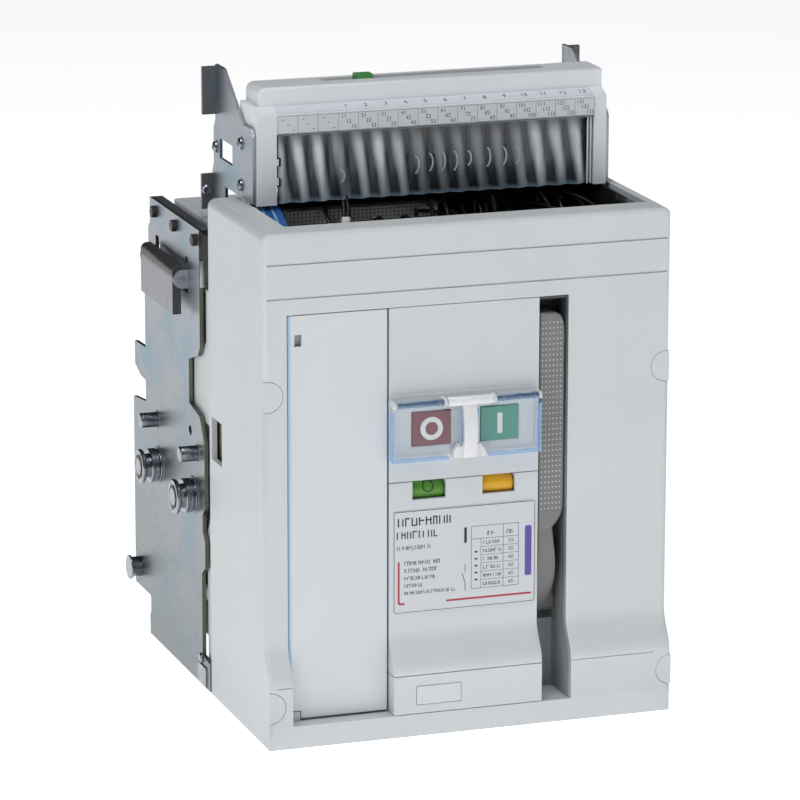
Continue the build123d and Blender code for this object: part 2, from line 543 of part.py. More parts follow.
# ---- main shaft and moving contacts --------------------------------------------------
LINE_ANGLE = -43.3  # from the main shaft down to the contact pivot, in degrees from +Y
DRIVE_FROM_MAIN, DRIVE_FROM_CONTACT = 45.2, 51.0
DRIVE_PIN = along(CONTACT_AXIS, 180 + LINE_ANGLE + DRIVE_ANGLE, DRIVE_FROM_CONTACT)
LEVER_ANGLE = LINE_ANGLE - DRIVE_ANGLE * DRIVE_FROM_CONTACT / DRIVE_FROM_MAIN
with BuildPart() as main_shaft:
    rod_x((-110, 110), MAIN_AXIS, MAIN_R)
    for pole_x in POLES:
        lever_x = (pole_x - 4.5, pole_x + 4.5)
        rod_x(lever_x, MAIN_AXIS, 14.0)
        across = 9.0  # half the width of the lever
        near = along(MAIN_AXIS, LEVER_ANGLE, 4)
        far = along(MAIN_AXIS, LEVER_ANGLE, DRIVE_FROM_MAIN + 8)
        up = radians(LEVER_ANGLE + 90)
        shift = (across * cos(up), across * sin(up))
        prism_x([(near[0] + shift[0], near[1] + shift[1]), (far[0] + shift[0], far[1] + shift[1]),
                 (far[0] - shift[0], far[1] - shift[1]), (near[0] - shift[0], near[1] - shift[1])], lever_x)
        # Fork slot for the drive pin.
        slot_in = along(MAIN_AXIS, LEVER_ANGLE, DRIVE_FROM_MAIN - 6)
        slot_out = along(MAIN_AXIS, LEVER_ANGLE, DRIVE_FROM_MAIN + 12)
        wide = (4.6 * cos(up), 4.6 * sin(up))
        prism_x([(slot_in[0] + wide[0], slot_in[1] + wide[1]), (slot_out[0] + wide[0], slot_out[1] + wide[1]),
                 (slot_out[0] - wide[0], slot_out[1] - wide[1]),
                 (slot_in[0] - wide[0], slot_in[1] - wide[1])], lever_x, Mode.SUBTRACT)
main_shaft.part.label = "main_shaft"
export_step(main_shaft.part, "parts/main_shaft.step")

# Open position: the arms lean 14 degrees forward of vertical.
UPRIGHT = 90 + 14.0
ARM_LENGTH = UPPER_BAR_Z + 8 - CONTACT_AXIS[1]
with BuildPart() as contact_carriers:
    for pole_x in POLES:
        for cheek in (-1, 1):
            cheek_x = mirrored(cheek, (19.0, 23.0))
            cheek_x = (pole_x + cheek_x[0], pole_x + cheek_x[1])
            prism_x([along(CONTACT_AXIS, 200, 13), along(CONTACT_AXIS, 146, DRIVE_FROM_CONTACT + 4),
                     along(CONTACT_AXIS, UPRIGHT + 4, 62), along(CONTACT_AXIS, UPRIGHT - 9, 60),
                     along(CONTACT_AXIS, 20, 13), along(CONTACT_AXIS, -70, 13)], cheek_x)
        rod_x((pole_x - 20, pole_x + 20), DRIVE_PIN, 4.0)
        rod_x((pole_x - 20, pole_x + 20), along(CONTACT_AXIS, UPRIGHT - 1, 55), 3.0)
        rod_x((pole_x - 30, pole_x + 30), CONTACT_AXIS, CONTACT_PIN_R + RUN, Mode.SUBTRACT)
contact_carriers.part.label = "contact_carriers"
export_step(contact_carriers.part, "parts/contact_carriers.step")

FINGERS = 4
with BuildPart() as contact_arms:
    for pole_x in POLES:
        for finger in range(FINGERS):
            middle = pole_x + (finger - (FINGERS - 1) / 2) * 8.6
            finger_x = (middle - 3.6, middle + 3.6)
            rod_x(finger_x, CONTACT_AXIS, 11.0)
            prism_x([along(CONTACT_AXIS, UPRIGHT + 60, 8), along(CONTACT_AXIS, UPRIGHT + 5, ARM_LENGTH),
                     along(CONTACT_AXIS, UPRIGHT - 2.5, ARM_LENGTH + 1),
                     along(CONTACT_AXIS, UPRIGHT - 60, 8)], finger_x)
            # Silver-alloy tip.
            tip_high, tip_low = ARM_LENGTH - 1, ARM_LENGTH - 14
            prism_x([along(CONTACT_AXIS, UPRIGHT - 1, tip_high), along(CONTACT_AXIS, UPRIGHT - 5, tip_high),
                     along(CONTACT_AXIS, UPRIGHT - 5.3, tip_low), along(CONTACT_AXIS, UPRIGHT, tip_low)],
                    finger_x)
        rod_x((pole_x - 30, pole_x + 30), along(CONTACT_AXIS, UPRIGHT - 1, 55), 3.0, Mode.SUBTRACT)
        rod_x((pole_x - 30, pole_x + 30), CONTACT_AXIS, CONTACT_PIN_R + RUN, Mode.SUBTRACT)
contact_arms.part.label = "contact_arms"
export_step(contact_arms.part, "parts/contact_arms.step")


# ---- latches ------------------------------------------------------------------------
def latch_shaft(axis, button_x):
    """A half-round latch shaft in the frame plates, with the paddle that a button stem pushes."""
    rod_x((FRAME_X[0][0] - 1, FRAME_X[1][1] + 1), axis, 4.0)
    block((-10, 10), (axis[0] - 6, axis[0] - 0.5), (axis[1] - 6, axis[1] + 6), Mode.SUBTRACT)
    middle = (button_x[0] + button_x[1]) / 2
    stem_z = (BUTTON_Z[0] + BUTTON_Z[1]) / 2
    side = 1 if stem_z > axis[1] else -1
    z_pair = sorted((axis[1] + side * 3, stem_z + side * 6))
    block((middle - 5, middle + 5), (axis[0] - 4.0, axis[0] - 1.0), (z_pair[0], z_pair[1]))


with BuildPart() as trip_shaft:
    latch_shaft(TRIP_AXIS, OFF_X)
trip_shaft.part.label = "trip_shaft"
export_step(trip_shaft.part, "parts/trip_shaft.step")

with BuildPart() as close_latch:
    latch_shaft(CLOSE_AXIS, ON_X)
close_latch.part.label = "close_latch"
export_step(close_latch.part, "parts/close_latch.step")

# ---- mechanism frame ------------------------------------------------------------------
# Its plates, spacers, pins and strips are separate solids that meet face to face.
INSIDE = (FRAME_X[0][1] + JOINT_GAP, FRAME_X[1][0] - JOINT_GAP)  # between the left and the right plate
OUTSIDE = (FRAME_X[1][1] + JOINT_GAP, FRAME_X[2][0] - JOINT_GAP)  # between the right and the outer plate
with BuildPart() as mechanism_frame:
    for plate_x in FRAME_X[:2]:
        prism_x([(34, 40), (112, 40), (112, 236), (96, 262), (34, 262)], plate_x)
        block(plate_x, (44, 104), (COVER_WALL, 41))
        block(plate_x, (SPRING_SEAT_Y, 40), (178, 205))
    prism_x([(20, 58), (34, 52), (112, 100), (112, 180), (60, 150), (20, 86)], FRAME_X[2])
    # Arm that carries the handle pin beside the right plate.
    prism_x([(20, 58), (40, 52), (40, 90), (20, 86)], FRAME_X[1])
    for axis, radius in ((CAM_AXIS, CAM_R), (MAIN_AXIS, MAIN_R), (TRIP_AXIS, 4.0), (CLOSE_AXIS, 4.0)):
        rod_x((-60, 70), axis, radius + RUN, Mode.SUBTRACT)
    for spacer_yz in ((42, 48), (104, 48), (42, 252), (90, 252)):
        rod_x(INSIDE, spacer_yz, 5.0)
    for pin_yz in (HANDLE_PIVOT, (104.0, 124.0)):
        rod_x(OUTSIDE, pin_yz, HANDLE_PIN_R)
    # Spring foot and guide rod.
    block(INSIDE, (30, 58), (57, 61.7))
    rod_z((61.7 + JOINT_GAP, 196), SPRING_XY, 4.0)
    # Spring seat of the buttons, a strip across the frame front.
    block(INSIDE, (SPRING_SEAT_Y, SPRING_SEAT_Y + 4), (178, 205))
    for window_x in (OFF_X, ON_X):
        stem = ((window_x[0] + window_x[1]) / 2, (BUTTON_Z[0] + BUTTON_Z[1]) / 2)
        rod_y((0, 50), stem, 3.0 + RUN, Mode.SUBTRACT)
    # Flag shafts turn in thin ears in front of the frame.
    ear_z = (FLAG_AXIS[1] - 3.4, FLAG_AXIS[1] + 3.4)
    for ear_x in ((INSIDE[0], -38.0), (-12.6, -10.0), (4.6, 7.0), (32.0, 35.0)):
        block(ear_x, (4.5, 27.0 - JOINT_GAP), ear_z)
    for strip_x in ((INSIDE[0], -20.0), (12.0, INSIDE[1])):
        block(strip_x, (27.0, 34.0), ear_z)
    # Thin in the middle, where the spring carriage passes behind.
    block((-20.0 + JOINT_GAP, 12.0 - JOINT_GAP), (27.0, 28.0), ear_z)
    rod_x((-60, 60), FLAG_AXIS, 1.5 + RUN, Mode.SUBTRACT)
mechanism_frame.part.label = "mechanism_frame"
export_step(mechanism_frame.part, "parts/mechanism_frame.step")

# ---- electrical accessories inside the cover ---------------------------------------------
with BuildPart() as release_coils:
    for coil_x in (-26.0, -2.0, 22.0):
        block((coil_x - 9, coil_x + 9), (70, 96), (206, 246))
        rod_z((198, 246.4), (coil_x, 83), 3.0)
release_coils.part.label = "release_coils"
export_step(release_coils.part, "parts/release_coils.step")

with BuildPart() as auxiliary_contacts:
    for unit in range(4):
        low = 68.0 + unit * 12.0
        block((low, low + 11.4), (52, 86), (196, 262))
        block((low + 2, low + 9.4), (56, 70), (262, 266))
auxiliary_contacts.part.label = "auxiliary_contacts"
export_step(auxiliary_contacts.part, "parts/auxiliary_contacts.step")

# ---- pole housing and what it holds --------------------------------------------------------
CHAMBERS = [(pole_x - 33.0, pole_x + 33.0) for pole_x in POLES]
with BuildPart() as pole_housing_front:
    block((-HOUSING_HALF, HOUSING_HALF), (HOUSING_FRONT, HOUSING_SPLIT), (HOUSING_BOTTOM, HOUSING_TOP))
    for pole_x, chamber in zip(POLES, CHAMBERS):
        block(chamber, (HOUSING_FRONT + HOUSING_WALL, HOUSING_SPLIT + 1),
              (HOUSING_BOTTOM + HOUSING_WALL, HOUSING_TOP - HOUSING_WALL), Mode.SUBTRACT)
        # Slot for the lever of the main shaft.
        block((pole_x - 7, pole_x + 7), (HOUSING_FRONT - 1, HOUSING_FRONT + HOUSING_WALL + 1),
              (104, 172), Mode.SUBTRACT)
        block((pole_x - CHUTE_HALF - 0.5, pole_x + CHUTE_HALF + 0.5), (130, HOUSING_SPLIT + 1),
              (HOUSING_TOP - 6, HOUSING_TOP + 1), Mode.SUBTRACT)
    for side in SIDES:
        rod_x(mirrored(side, (HOUSING_HALF, PLATE_IN)), (HEX_Y[0], HEX_Z), 4.0)
        rod_x(mirrored(side, (HOUSING_HALF - 8, PLATE_OUT + 1)), (HEX_Y[0], HEX_Z), 2.0, Mode.SUBTRACT)
        rod_x(mirrored(side, (HOUSING_HALF, PLATE_IN)), (HEX_Y[0], 60.0), 6.0)
pole_housing_front.part.label = "pole_housing_front"
export_step(pole_housing_front.part, "parts/pole_housing_front.step")

with BuildPart() as pole_housing_rear:
    block((-HOUSING_HALF, HOUSING_HALF), (HOUSING_SPLIT, HOUSING_BACK), (HOUSING_BOTTOM, HOUSING_TOP))
    fillet(pole_housing_rear.edges().filter_by(Axis.Z).group_by(Axis.Y)[-1], 5.0)
    for pole_x, chamber in zip(POLES, CHAMBERS):
        block(chamber, (HOUSING_SPLIT - 1, HOUSING_BACK - HOUSING_WALL),
              (HOUSING_BOTTOM + HOUSING_WALL, HOUSING_TOP - HOUSING_WALL), Mode.SUBTRACT)
        block((pole_x - CHUTE_HALF - 0.5, pole_x + CHUTE_HALF + 0.5), (HOUSING_SPLIT - 1, 224),
              (HOUSING_TOP - 6, HOUSING_TOP + 1), Mode.SUBTRACT)
        for bar_z in (UPPER_BAR_Z, LOWER_BAR_Z):
            block((pole_x - BAR_WIDTH / 2, pole_x + BAR_WIDTH / 2), (HOUSING_BACK - 6, HOUSING_BACK + 1),
                  (bar_z - BAR_THICK / 2, bar_z + BAR_THICK / 2), Mode.SUBTRACT)
    for side in SIDES:
        for hex_y in HEX_Y[1:]:
            rod_x(mirrored(side, (HOUSING_HALF, PLATE_IN)), (min(hex_y, 226.0), HEX_Z), 4.0)
            rod_x(mirrored(side, (HOUSING_HALF - 8, PLATE_OUT + 1)), (hex_y, HEX_Z), 2.0, Mode.SUBTRACT)
        rod_x(mirrored(side, (HOUSING_HALF, PLATE_IN)), (220.0, 60.0), 6.0)
pole_housing_rear.part.label = "pole_housing_rear"
export_step(pole_housing_rear.part, "parts/pole_housing_rear.step")

CHUTE_Z = (212.0, 292.0)
CHUTE_Y = (130.6, 223.4)
PLATES_PER_CHUTE = 9
PLATE_STEP = 9.0
with BuildPart() as arc_chutes:
    for pole_x in POLES:
        for cheek in (-1, 1):
            low, high = mirrored(cheek, (CHUTE_HALF - 2.5, CHUTE_HALF))
            block((pole_x + low, pole_x + high), CHUTE_Y, (CHUTE_Z[0], CHUTE_Z[1] - 4 - JOINT_GAP))
        block((pole_x - CHUTE_HALF, pole_x + CHUTE_HALF), CHUTE_Y, (CHUTE_Z[1] - 4, CHUTE_Z[1]))
        for row in range(8):
            for column in range(4):
                vent_x = pole_x + (column - 1.5) * 11.0
                vent_y = CHUTE_Y[0] + 11.0 + row * 10.1
                block((vent_x - 3.6, vent_x + 3.6), (vent_y - 3.0, vent_y + 3.0),
                      (CHUTE_Z[1] - 5, CHUTE_Z[1] + 1), Mode.SUBTRACT)
arc_chutes.part.label = "arc_chutes"
export_step(arc_chutes.part, "parts/arc_chutes.step")

with BuildPart() as splitter_plates:
    for pole_x in POLES:
        for step in range(PLATES_PER_CHUTE):
            plate_y = CHUTE_Y[0] + 9.0 + step * PLATE_STEP
            block((pole_x - CHUTE_HALF + 2.5, pole_x + CHUTE_HALF - 2.5), (plate_y, plate_y + 2.0),
                  (222.0, 280.0))
            # Throat that the arc runs up into.
            block((pole_x - 5, pole_x + 5), (plate_y - 1, plate_y + 3), (221.0, 246.0), Mode.SUBTRACT)
splitter_plates.part.label = "splitter_plates"
export_step(splitter_plates.part, "parts/splitter_plates.step")

with BuildPart() as terminals:
    for pole_x in POLES:
        bar_x = (pole_x - BAR_WIDTH / 2, pole_x + BAR_WIDTH / 2)
        # Upper bar with the fixed contact upright in front of it.
        block(bar_x, (192.0, BAR_END), (UPPER_BAR_Z - BAR_THICK / 2, UPPER_BAR_Z + BAR_THICK / 2))
        block(bar_x, (184.0, 192.0), (UPPER_BAR_Z - 14, UPPER_BAR_Z + 22))
        block((bar_x[0] + 3, bar_x[1] - 3), (177.6, 184.0), (UPPER_BAR_Z - 12, UPPER_BAR_Z + 8))
        # Lower bar ends in two lugs with the pin of the moving contacts.
        block(bar_x, (186.0, BAR_END), (LOWER_BAR_Z - BAR_THICK / 2, LOWER_BAR_Z + BAR_THICK / 2))
        for cheek in (-1, 1):
            low, high = mirrored(cheek, (25.0, 29.0))
            block((pole_x + low, pole_x + high), (158.0, 196.0), (LOWER_BAR_Z - 8, LOWER_BAR_Z + 8))
        block((pole_x - 29, pole_x + 29), (188.0, 196.0), (LOWER_BAR_Z - 8, LOWER_BAR_Z + 8))
        rod_x((pole_x - 29, pole_x + 29), CONTACT_AXIS, CONTACT_PIN_R)
terminals.part.label = "terminals"
export_step(terminals.part, "parts/terminals.step")

with BuildPart() as current_sensors:
    for pole_x in POLES:
        block((pole_x - 30, pole_x + 30), (202.0, 224.0), (LOWER_BAR_Z - 34, LOWER_BAR_Z + 34))
        block((pole_x - BAR_WIDTH / 2 - 0.6, pole_x + BAR_WIDTH / 2 + 0.6), (200, 226),
              (LOWER_BAR_Z - BAR_THICK / 2 - 0.6, LOWER_BAR_Z + BAR_THICK / 2 + 0.6), Mode.SUBTRACT)
    fillet(current_sensors.edges().filter_by(Axis.Y).group_by(Axis.Z)[-1], 6.0)
current_sensors.part.label = "current_sensors"
export_step(current_sensors.part, "parts/current_sensors.step")

# Sprung jaws on the bar ends, which plug onto the cradle's bars.
JAW_FINGERS = 5
with BuildPart() as cluster_fingers:
    for pole_x in POLES:
        for bar_z in (UPPER_BAR_Z, LOWER_BAR_Z):
            for finger in range(JAW_FINGERS):
                middle = pole_x + (finger - (JAW_FINGERS - 1) / 2) * 7.6
                finger_x = (middle - 3.2, middle + 3.2)
                for flip in (-1, 1):
                    jaw = [(244, 5.0), (256, 5.0), (268, 9.0), (276, 5.6), (281, 5.6), (286, 10.0),
                           (286, 14.0), (244, 14.0)]
                    prism_x([(y, bar_z + flip * z) for y, z in jaw], finger_x)
cluster_fingers.part.label = "cluster_fingers"
export_step(cluster_fingers.part, "parts/cluster_fingers.step")

with BuildPart() as cluster_cages:
    for pole_x in POLES:
        for bar_z in (UPPER_BAR_Z, LOWER_BAR_Z):
            block((pole_x - 24, pole_x + 24), (248, 262), (bar_z - 18, bar_z + 18))
            block((pole_x - 20.4, pole_x + 20.4), (247, 263), (bar_z - 14.2, bar_z + 14.2), Mode.SUBTRACT)
cluster_cages.part.label = "cluster_cages"
export_step(cluster_cages.part, "parts/cluster_cages.step")

# ---- side plates and what they carry ---------------------------------------------------------
# Outline as (y, z), from the top front corner round the back and up the front edge.
PLATE_OUTLINE = [
    (133.0, PLATE_TOP), (243.0, PLATE_TOP), (243.0, 277.0), (247.0, 273.0), (247.0, 236.0), (257.0, 228.0),
    (257.0, 191.0), (282.0, 190.0), (282.0, 175.0), (270.0, 170.0), (257.0, 169.0), (257.0, 155.0),
    (286.0, 152.0), (286.0, 26.0), (250.0, 26.0), (250.0, 15.0), (252.0, 13.0), (252.0, 0.0), (116.0, 0.0),
    (116.0, 18.0), (132.5, 20.0), (132.5, 73.0), (125.0, 79.0), (125.0, 95.0), (130.0, 101.0), (130.0, 112.0),
    (125.0, 117.0), (125.0, 159.4), (135.0, 174.0), (157.5, 178.0), (157.5, 206.0), (146.0, 210.0),
    (138.0, 212.0), (133.0, 219.0),
]
EAR_Y = ((155.6, 157.6), (230.4, 232.4))


def side_plate(side):
    """A pressed steel plate with a flange along its top, lifting ears and a rolled front edge."""
    prism_x(PLATE_OUTLINE, mirrored(side, (PLATE_IN, PLATE_OUT)))
    through = mirrored(side, (PLATE_IN - 1, PLATE_OUT + 1))
    block(mirrored(side, (121.5, PLATE_IN)), (146.0, 243.0), (PLATE_TOP - 2.5, PLATE_TOP))
    rod_z((257.5, 274.5), (side * 127.4, 131.2), 2.6)
    # Window behind the lifting flap, with a slot at each end for the flap's lugs.
    block(through, (157.8, 230.2), (248.0, 266.8), Mode.SUBTRACT)
    block(through, (222.5, 230.2), (250.0, 271.0), Mode.SUBTRACT)
    block(through, (157.8, 163.5), (250.0, 271.0), Mode.SUBTRACT)
    for ear_y in EAR_Y:
        block(mirrored(side, (PLATE_OUT - 1, LIFT_AXIS[0])), ear_y, (LIFT_AXIS[1] - 6, LIFT_AXIS[1] + 6))
        rod_y(ear_y, (side * LIFT_AXIS[0], LIFT_AXIS[1]), 6.0)
        rod_y((150, 240), (side * LIFT_AXIS[0], LIFT_AXIS[1]), LIFT_PIN_R, Mode.SUBTRACT)
    for hex_y in HEX_Y:
        rod_x(through, (hex_y, HEX_Z), 2.0, Mode.SUBTRACT)
    for pin_yz in GUIDE_PINS:
        rod_x(through, pin_yz, GUIDE_SHANK_R, Mode.SUBTRACT)
    for roller_yz in ROLLERS:
        rod_x(through, roller_yz, ROLLER_AXLE_R, Mode.SUBTRACT)
    rod_x(through, STOP_STUD, 4.0, Mode.SUBTRACT)
    rod_x(through, (155.8, 160.5), 3.2, Mode.SUBTRACT)


with BuildPart() as side_plate_left:
    side_plate(-1)
side_plate_left.part.label = "side_plate_left"
export_step(side_plate_left.part, "parts/side_plate_left.step")

with BuildPart() as side_plate_right:
    side_plate(1)
side_plate_right.part.label = "side_plate_right"
export_step(side_plate_right.part, "parts/side_plate_right.step")

with BuildPart() as plate_screws:
    for side in SIDES:
        for hex_y in HEX_Y:
            rod_x(mirrored(side, (HOUSING_HALF - 6, PLATE_OUT + 0.5)), (hex_y, HEX_Z), 2.0)
            with BuildSketch(Plane.YZ.offset(side * PLATE_OUT)):
                with Locations((hex_y, HEX_Z)):
                    RegularPolygon(4.0, 6)
            extrude(amount=side * 3.2)
plate_screws.part.label = "plate_screws"
export_step(plate_screws.part, "parts/plate_screws.step")

with BuildPart() as plate_end_blocks:
    for side in SIDES:
        block(mirrored(side, (119.5, PLATE_OUT - 0.3)), (115.0, 132.8), (275.0, 293.0))
plate_end_blocks.part.label = "plate_end_blocks"
export_step(plate_end_blocks.part, "parts/plate_end_blocks.step")

ROLLER_OUT = 143.6
WASHER_OUT = 131.6
with BuildPart() as side_pins:
    for side in SIDES:
        for pin_yz in GUIDE_PINS:
            rod_x(mirrored(side, (PLATE_IN, PLATE_OUT)), pin_yz, GUIDE_SHANK_R)
            rod_x(mirrored(side, (PLATE_OUT, PLATE_OUT + GUIDE_LENGTH)), pin_yz, GUIDE_R)
            chamfer(side_pins.faces().sort_by(Axis.X)[0 if side < 0 else -1].edges(), 0.7)
        for roller_yz in ROLLERS:
            rod_x(mirrored(side, (PLATE_IN, ROLLER_OUT + 0.4)), roller_yz, ROLLER_AXLE_R)
            rod_x(mirrored(side, (PLATE_OUT, WASHER_OUT)), roller_yz, ROLLER_R - 0.6)
        rod_x(mirrored(side, (PLATE_IN, PLATE_OUT + 1)), STOP_STUD, 4.0)
        rod_x(mirrored(side, (PLATE_OUT, PLATE_OUT + 6.5)), STOP_STUD, 6.6)
        rod_x(mirrored(side, (PLATE_OUT + 6.5, PLATE_OUT + 8.0)), STOP_STUD, 7.9)
        rod_y((EAR_Y[0][0] - 0.8, EAR_Y[1][1] + 0.8), (side * LIFT_AXIS[0], LIFT_AXIS[1]), LIFT_PIN_R)
side_pins.part.label = "side_pins"
export_step(side_pins.part, "parts/side_pins.step")


def grooved_roller(side, yz):
    """A steel roller with a rail groove, running on its fixed axle."""
    rod_x(mirrored(side, (WASHER_OUT + 0.3, 137.4)), yz, ROLLER_R)
    rod_x(mirrored(side, (137.4, 140.8)), yz, GROOVE_R)
    rod_x(mirrored(side, (140.8, ROLLER_OUT)), yz, ROLLER_R)
    rod_x(mirrored(side, (PLATE_OUT, ROLLER_OUT + 2)), yz, ROLLER_AXLE_R + RUN, Mode.SUBTRACT)


ROLLER_NAMES = {(-1, 0): "left_front", (-1, 1): "left_rear", (1, 0): "right_front", (1, 1): "right_rear"}
for (side, place), where in ROLLER_NAMES.items():
    with BuildPart() as roller:
        grooved_roller(side, ROLLERS[place])
    roller.part.label = "roller_" + where
    export_step(roller.part, "parts/roller_" + where + ".step")


def lifting_flap(side):
    """A folded steel lifting handle: outer face, rounded top, end cheeks on the hinge pin."""
    outer = 140.0
    block(mirrored(side, (outer - 1.6, outer)), LIFT_Y, (235.0, 262.5))
    block(mirrored(side, (LIFT_AXIS[0] - 0.6, outer - 4.0)), LIFT_Y, (264.9, 266.5))
    with BuildSketch(Plane.XZ.offset(-LIFT_Y[1])) as bend:
        with Locations((side * (outer - 4.0), 262.5)):
            Circle(4.0)
            Circle(2.4, mode=Mode.SUBTRACT)
        with Locations((side * (outer - 8.0), 262.5)):
            Rectangle(8.0, 12.0, mode=Mode.SUBTRACT)
        with Locations((side * (outer - 4.0), 258.5)):
            Rectangle(12.0, 8.0, mode=Mode.SUBTRACT)
    extrude(bend.sketch, amount=LIFT_Y[1] - LIFT_Y[0])
    for cheek_y in ((LIFT_Y[0], LIFT_Y[0] + 1.6), (LIFT_Y[1] - 1.6, LIFT_Y[1])):
        block(mirrored(side, (132.2, outer - 1.0)), cheek_y, (252.0, 262.5))
        block(mirrored(side, (134.4, outer - 1.0)), cheek_y, (235.0, 262.5))
        block(mirrored(side, (LIFT_AXIS[0] - 0.6, outer - 4.0)), cheek_y, (262.0, 266.5))
    rod_y((150, 240), (side * LIFT_AXIS[0], LIFT_AXIS[1]), LIFT_PIN_R + RUN, Mode.SUBTRACT)


with BuildPart() as lift_flap_left:
    lifting_flap(-1)
lift_flap_left.part.label = "lift_flap_left"
export_step(lift_flap_left.part, "parts/lift_flap_left.step")

with BuildPart() as lift_flap_right:
    lifting_flap(1)
lift_flap_right.part.label = "lift_flap_right"
export_step(lift_flap_right.part, "parts/lift_flap_right.step")

# ---- terminal carrier on top --------------------------------------------------------------------
with BuildPart() as terminal_carrier:
    # Upper box, rounded at its left end, over the shelf that carries the two number strips.
    block((CARRIER_BOX_LEFT, CARRIER_X[1]), (CARRIER_STEP, CARRIER_BACK), (STEP_TOP - 1, CARRIER_TOP))
    fillet(terminal_carrier.edges().filter_by(Axis.Y).group_by(Axis.Z)[-1].sort_by(Axis.X)[0], 5.0)
    fillet(terminal_carrier.edges().filter_by(Axis.X).group_by(Axis.Z)[-1].sort_by(Axis.Y)[0], 2.0)
    prism_x([(CARRIER_FRONT, WINDOW_TOP), (CARRIER_FRONT, STRIP_TOP), (CARRIER_STEP, STEP_TOP),
             (CARRIER_BACK, STEP_TOP), (CARRIER_BACK, WINDOW_TOP)], CARRIER_X)
    block((CARRIER_X[0] + 8, CARRIER_X[1] - 4), (CARRIER_STEP + 3, CARRIER_BACK - 3),
          (WINDOW_TOP - 1, CARRIER_TOP - 3), Mode.SUBTRACT)
    block((CARRIER_X[0], WINDOW_X[0]), (CARRIER_FRONT, CARRIER_BACK), (CARRIER_BOTTOM, WINDOW_TOP))
    block((WINDOW_X[1] + 1, CARRIER_X[1]), (CARRIER_FRONT, CARRIER_BACK), (CARRIER_BOTTOM, WINDOW_TOP))
    block((CARRIER_X[0] + 3, CARRIER_X[0] + 10), (CARRIER_FRONT + 3, CARRIER_BACK + 1),
          (CARRIER_BOTTOM - 1, WINDOW_TOP - 3), Mode.SUBTRACT)
    # Back wall behind the terminal blocks.
    block((WINDOW_X[0] - 1, WINDOW_X[1] + 2), (CARRIER_BACK - 3, CARRIER_BACK),
          (CARRIER_BOTTOM + 4, WINDOW_TOP))
    # Trough behind the top for the signal plug.
    block((-60.0, 84.0), (CARRIER_BACK - 14, CARRIER_BACK - 5), (CARRIER_TOP - 4, CARRIER_TOP + 1),
          Mode.SUBTRACT)
    for side, inner in SCREW_ENDS.items():
        for screw_yz in BRACKET_HOLES:
            rod_x(mirrored(side, (inner - 0.5, BRACKET_FACES[side])), screw_yz, 1.6, Mode.SUBTRACT)
    for clip_z in (330.0, 342.0):
        block((WINDOW_X[0] - 0.5, WINDOW_X[0] + 1.2), (CARRIER_FRONT, CARRIER_FRONT + 5),
              (clip_z, clip_z + 4))
terminal_carrier.part.label = "terminal_carrier"
export_step(terminal_carrier.part, "parts/terminal_carrier.step")

with BuildPart() as carrier_window:
    block((WINDOW_X[0] + 1.4, WINDOW_X[1]), (CARRIER_FRONT + 1.0, CARRIER_FRONT + 3.0),
          (CARRIER_BOTTOM + 0.5, WINDOW_TOP - 0.4))
carrier_window.part.label = "carrier_window"
export_step(carrier_window.part, "parts/carrier_window.step")


def block_middle(column):
    """The x of a terminal block, and of the wire socket under it."""
    return WINDOW_X[0] + 4.5 + (column + 0.5) * BLOCK_PITCH


with BuildPart() as terminal_blocks:
    for column in range(COLUMNS):
        middle = block_middle(column)
        block((middle - 5.9, middle + 5.9), (CARRIER_FRONT + 12, CARRIER_BACK - 3), (326.0, 360.5))
        rod_z((319.0, 326.0), (middle, CARRIER_FRONT + 22), 3.4)
terminal_blocks.part.label = "terminal_blocks"
export_step(terminal_blocks.part, "parts/terminal_blocks.step")

STRIP_X = (WINDOW_X[0] + 0.5, WINDOW_X[1] + 1.0)
with BuildPart() as number_strips:
    block(STRIP_X, (CARRIER_FRONT - 0.6, CARRIER_FRONT), (WINDOW_TOP + 0.6, STRIP_TOP - 0.8))
    slope = (CARRIER_STEP - CARRIER_FRONT, STEP_TOP - STRIP_TOP)
    length = (slope[0] ** 2 + slope[1] ** 2) ** 0.5
    normal = (-slope[1] / length * 0.6, slope[0] / length * 0.6)
    low_end = (CARRIER_FRONT + 0.08 * slope[0], STRIP_TOP + 0.08 * slope[1])
    high_end = (CARRIER_FRONT + 0.92 * slope[0], STRIP_TOP + 0.92 * slope[1])
    prism_x([low_end, high_end, (high_end[0] + normal[0], high_end[1] + normal[1]),
             (low_end[0] + normal[0], low_end[1] + normal[1])], STRIP_X)
number_strips.part.label = "number_strips"
export_step(number_strips.part, "parts/number_strips.step")

with BuildPart() as signal_plug:
    block((-38.5, -28.0), (CARRIER_BACK - 13.6, CARRIER_BACK - 5.4), (CARRIER_TOP - 4, CARRIER_TOP + 2.6))
    for way in range(3):
        rod_z((CARRIER_TOP + 0.6, CARRIER_TOP + 3), (-36.6 + way * 3.4, CARRIER_BACK - 9.5), 1.2,
              Mode.SUBTRACT)
signal_plug.part.label = "signal_plug"
export_step(signal_plug.part, "parts/signal_plug.step")

# Bracket outline as (y, z): front flange, neck, tall arm with a folded tip, and a rear foot.
BRACKET_OUTLINE = [
    (80.0, 318.5), (80.0, 360.0), (84.0, 364.5), (101.0, 364.5), (106.0, 368.0), (136.5, 389.5),
    (140.5, 392.0), (158.0, 392.0), (158.0, 357.0), (162.0, 352.0), (162.0, 330.0), (166.0, 322.0),
    (166.0, 293.0), (138.0, 293.0), (138.0, 318.5),
]


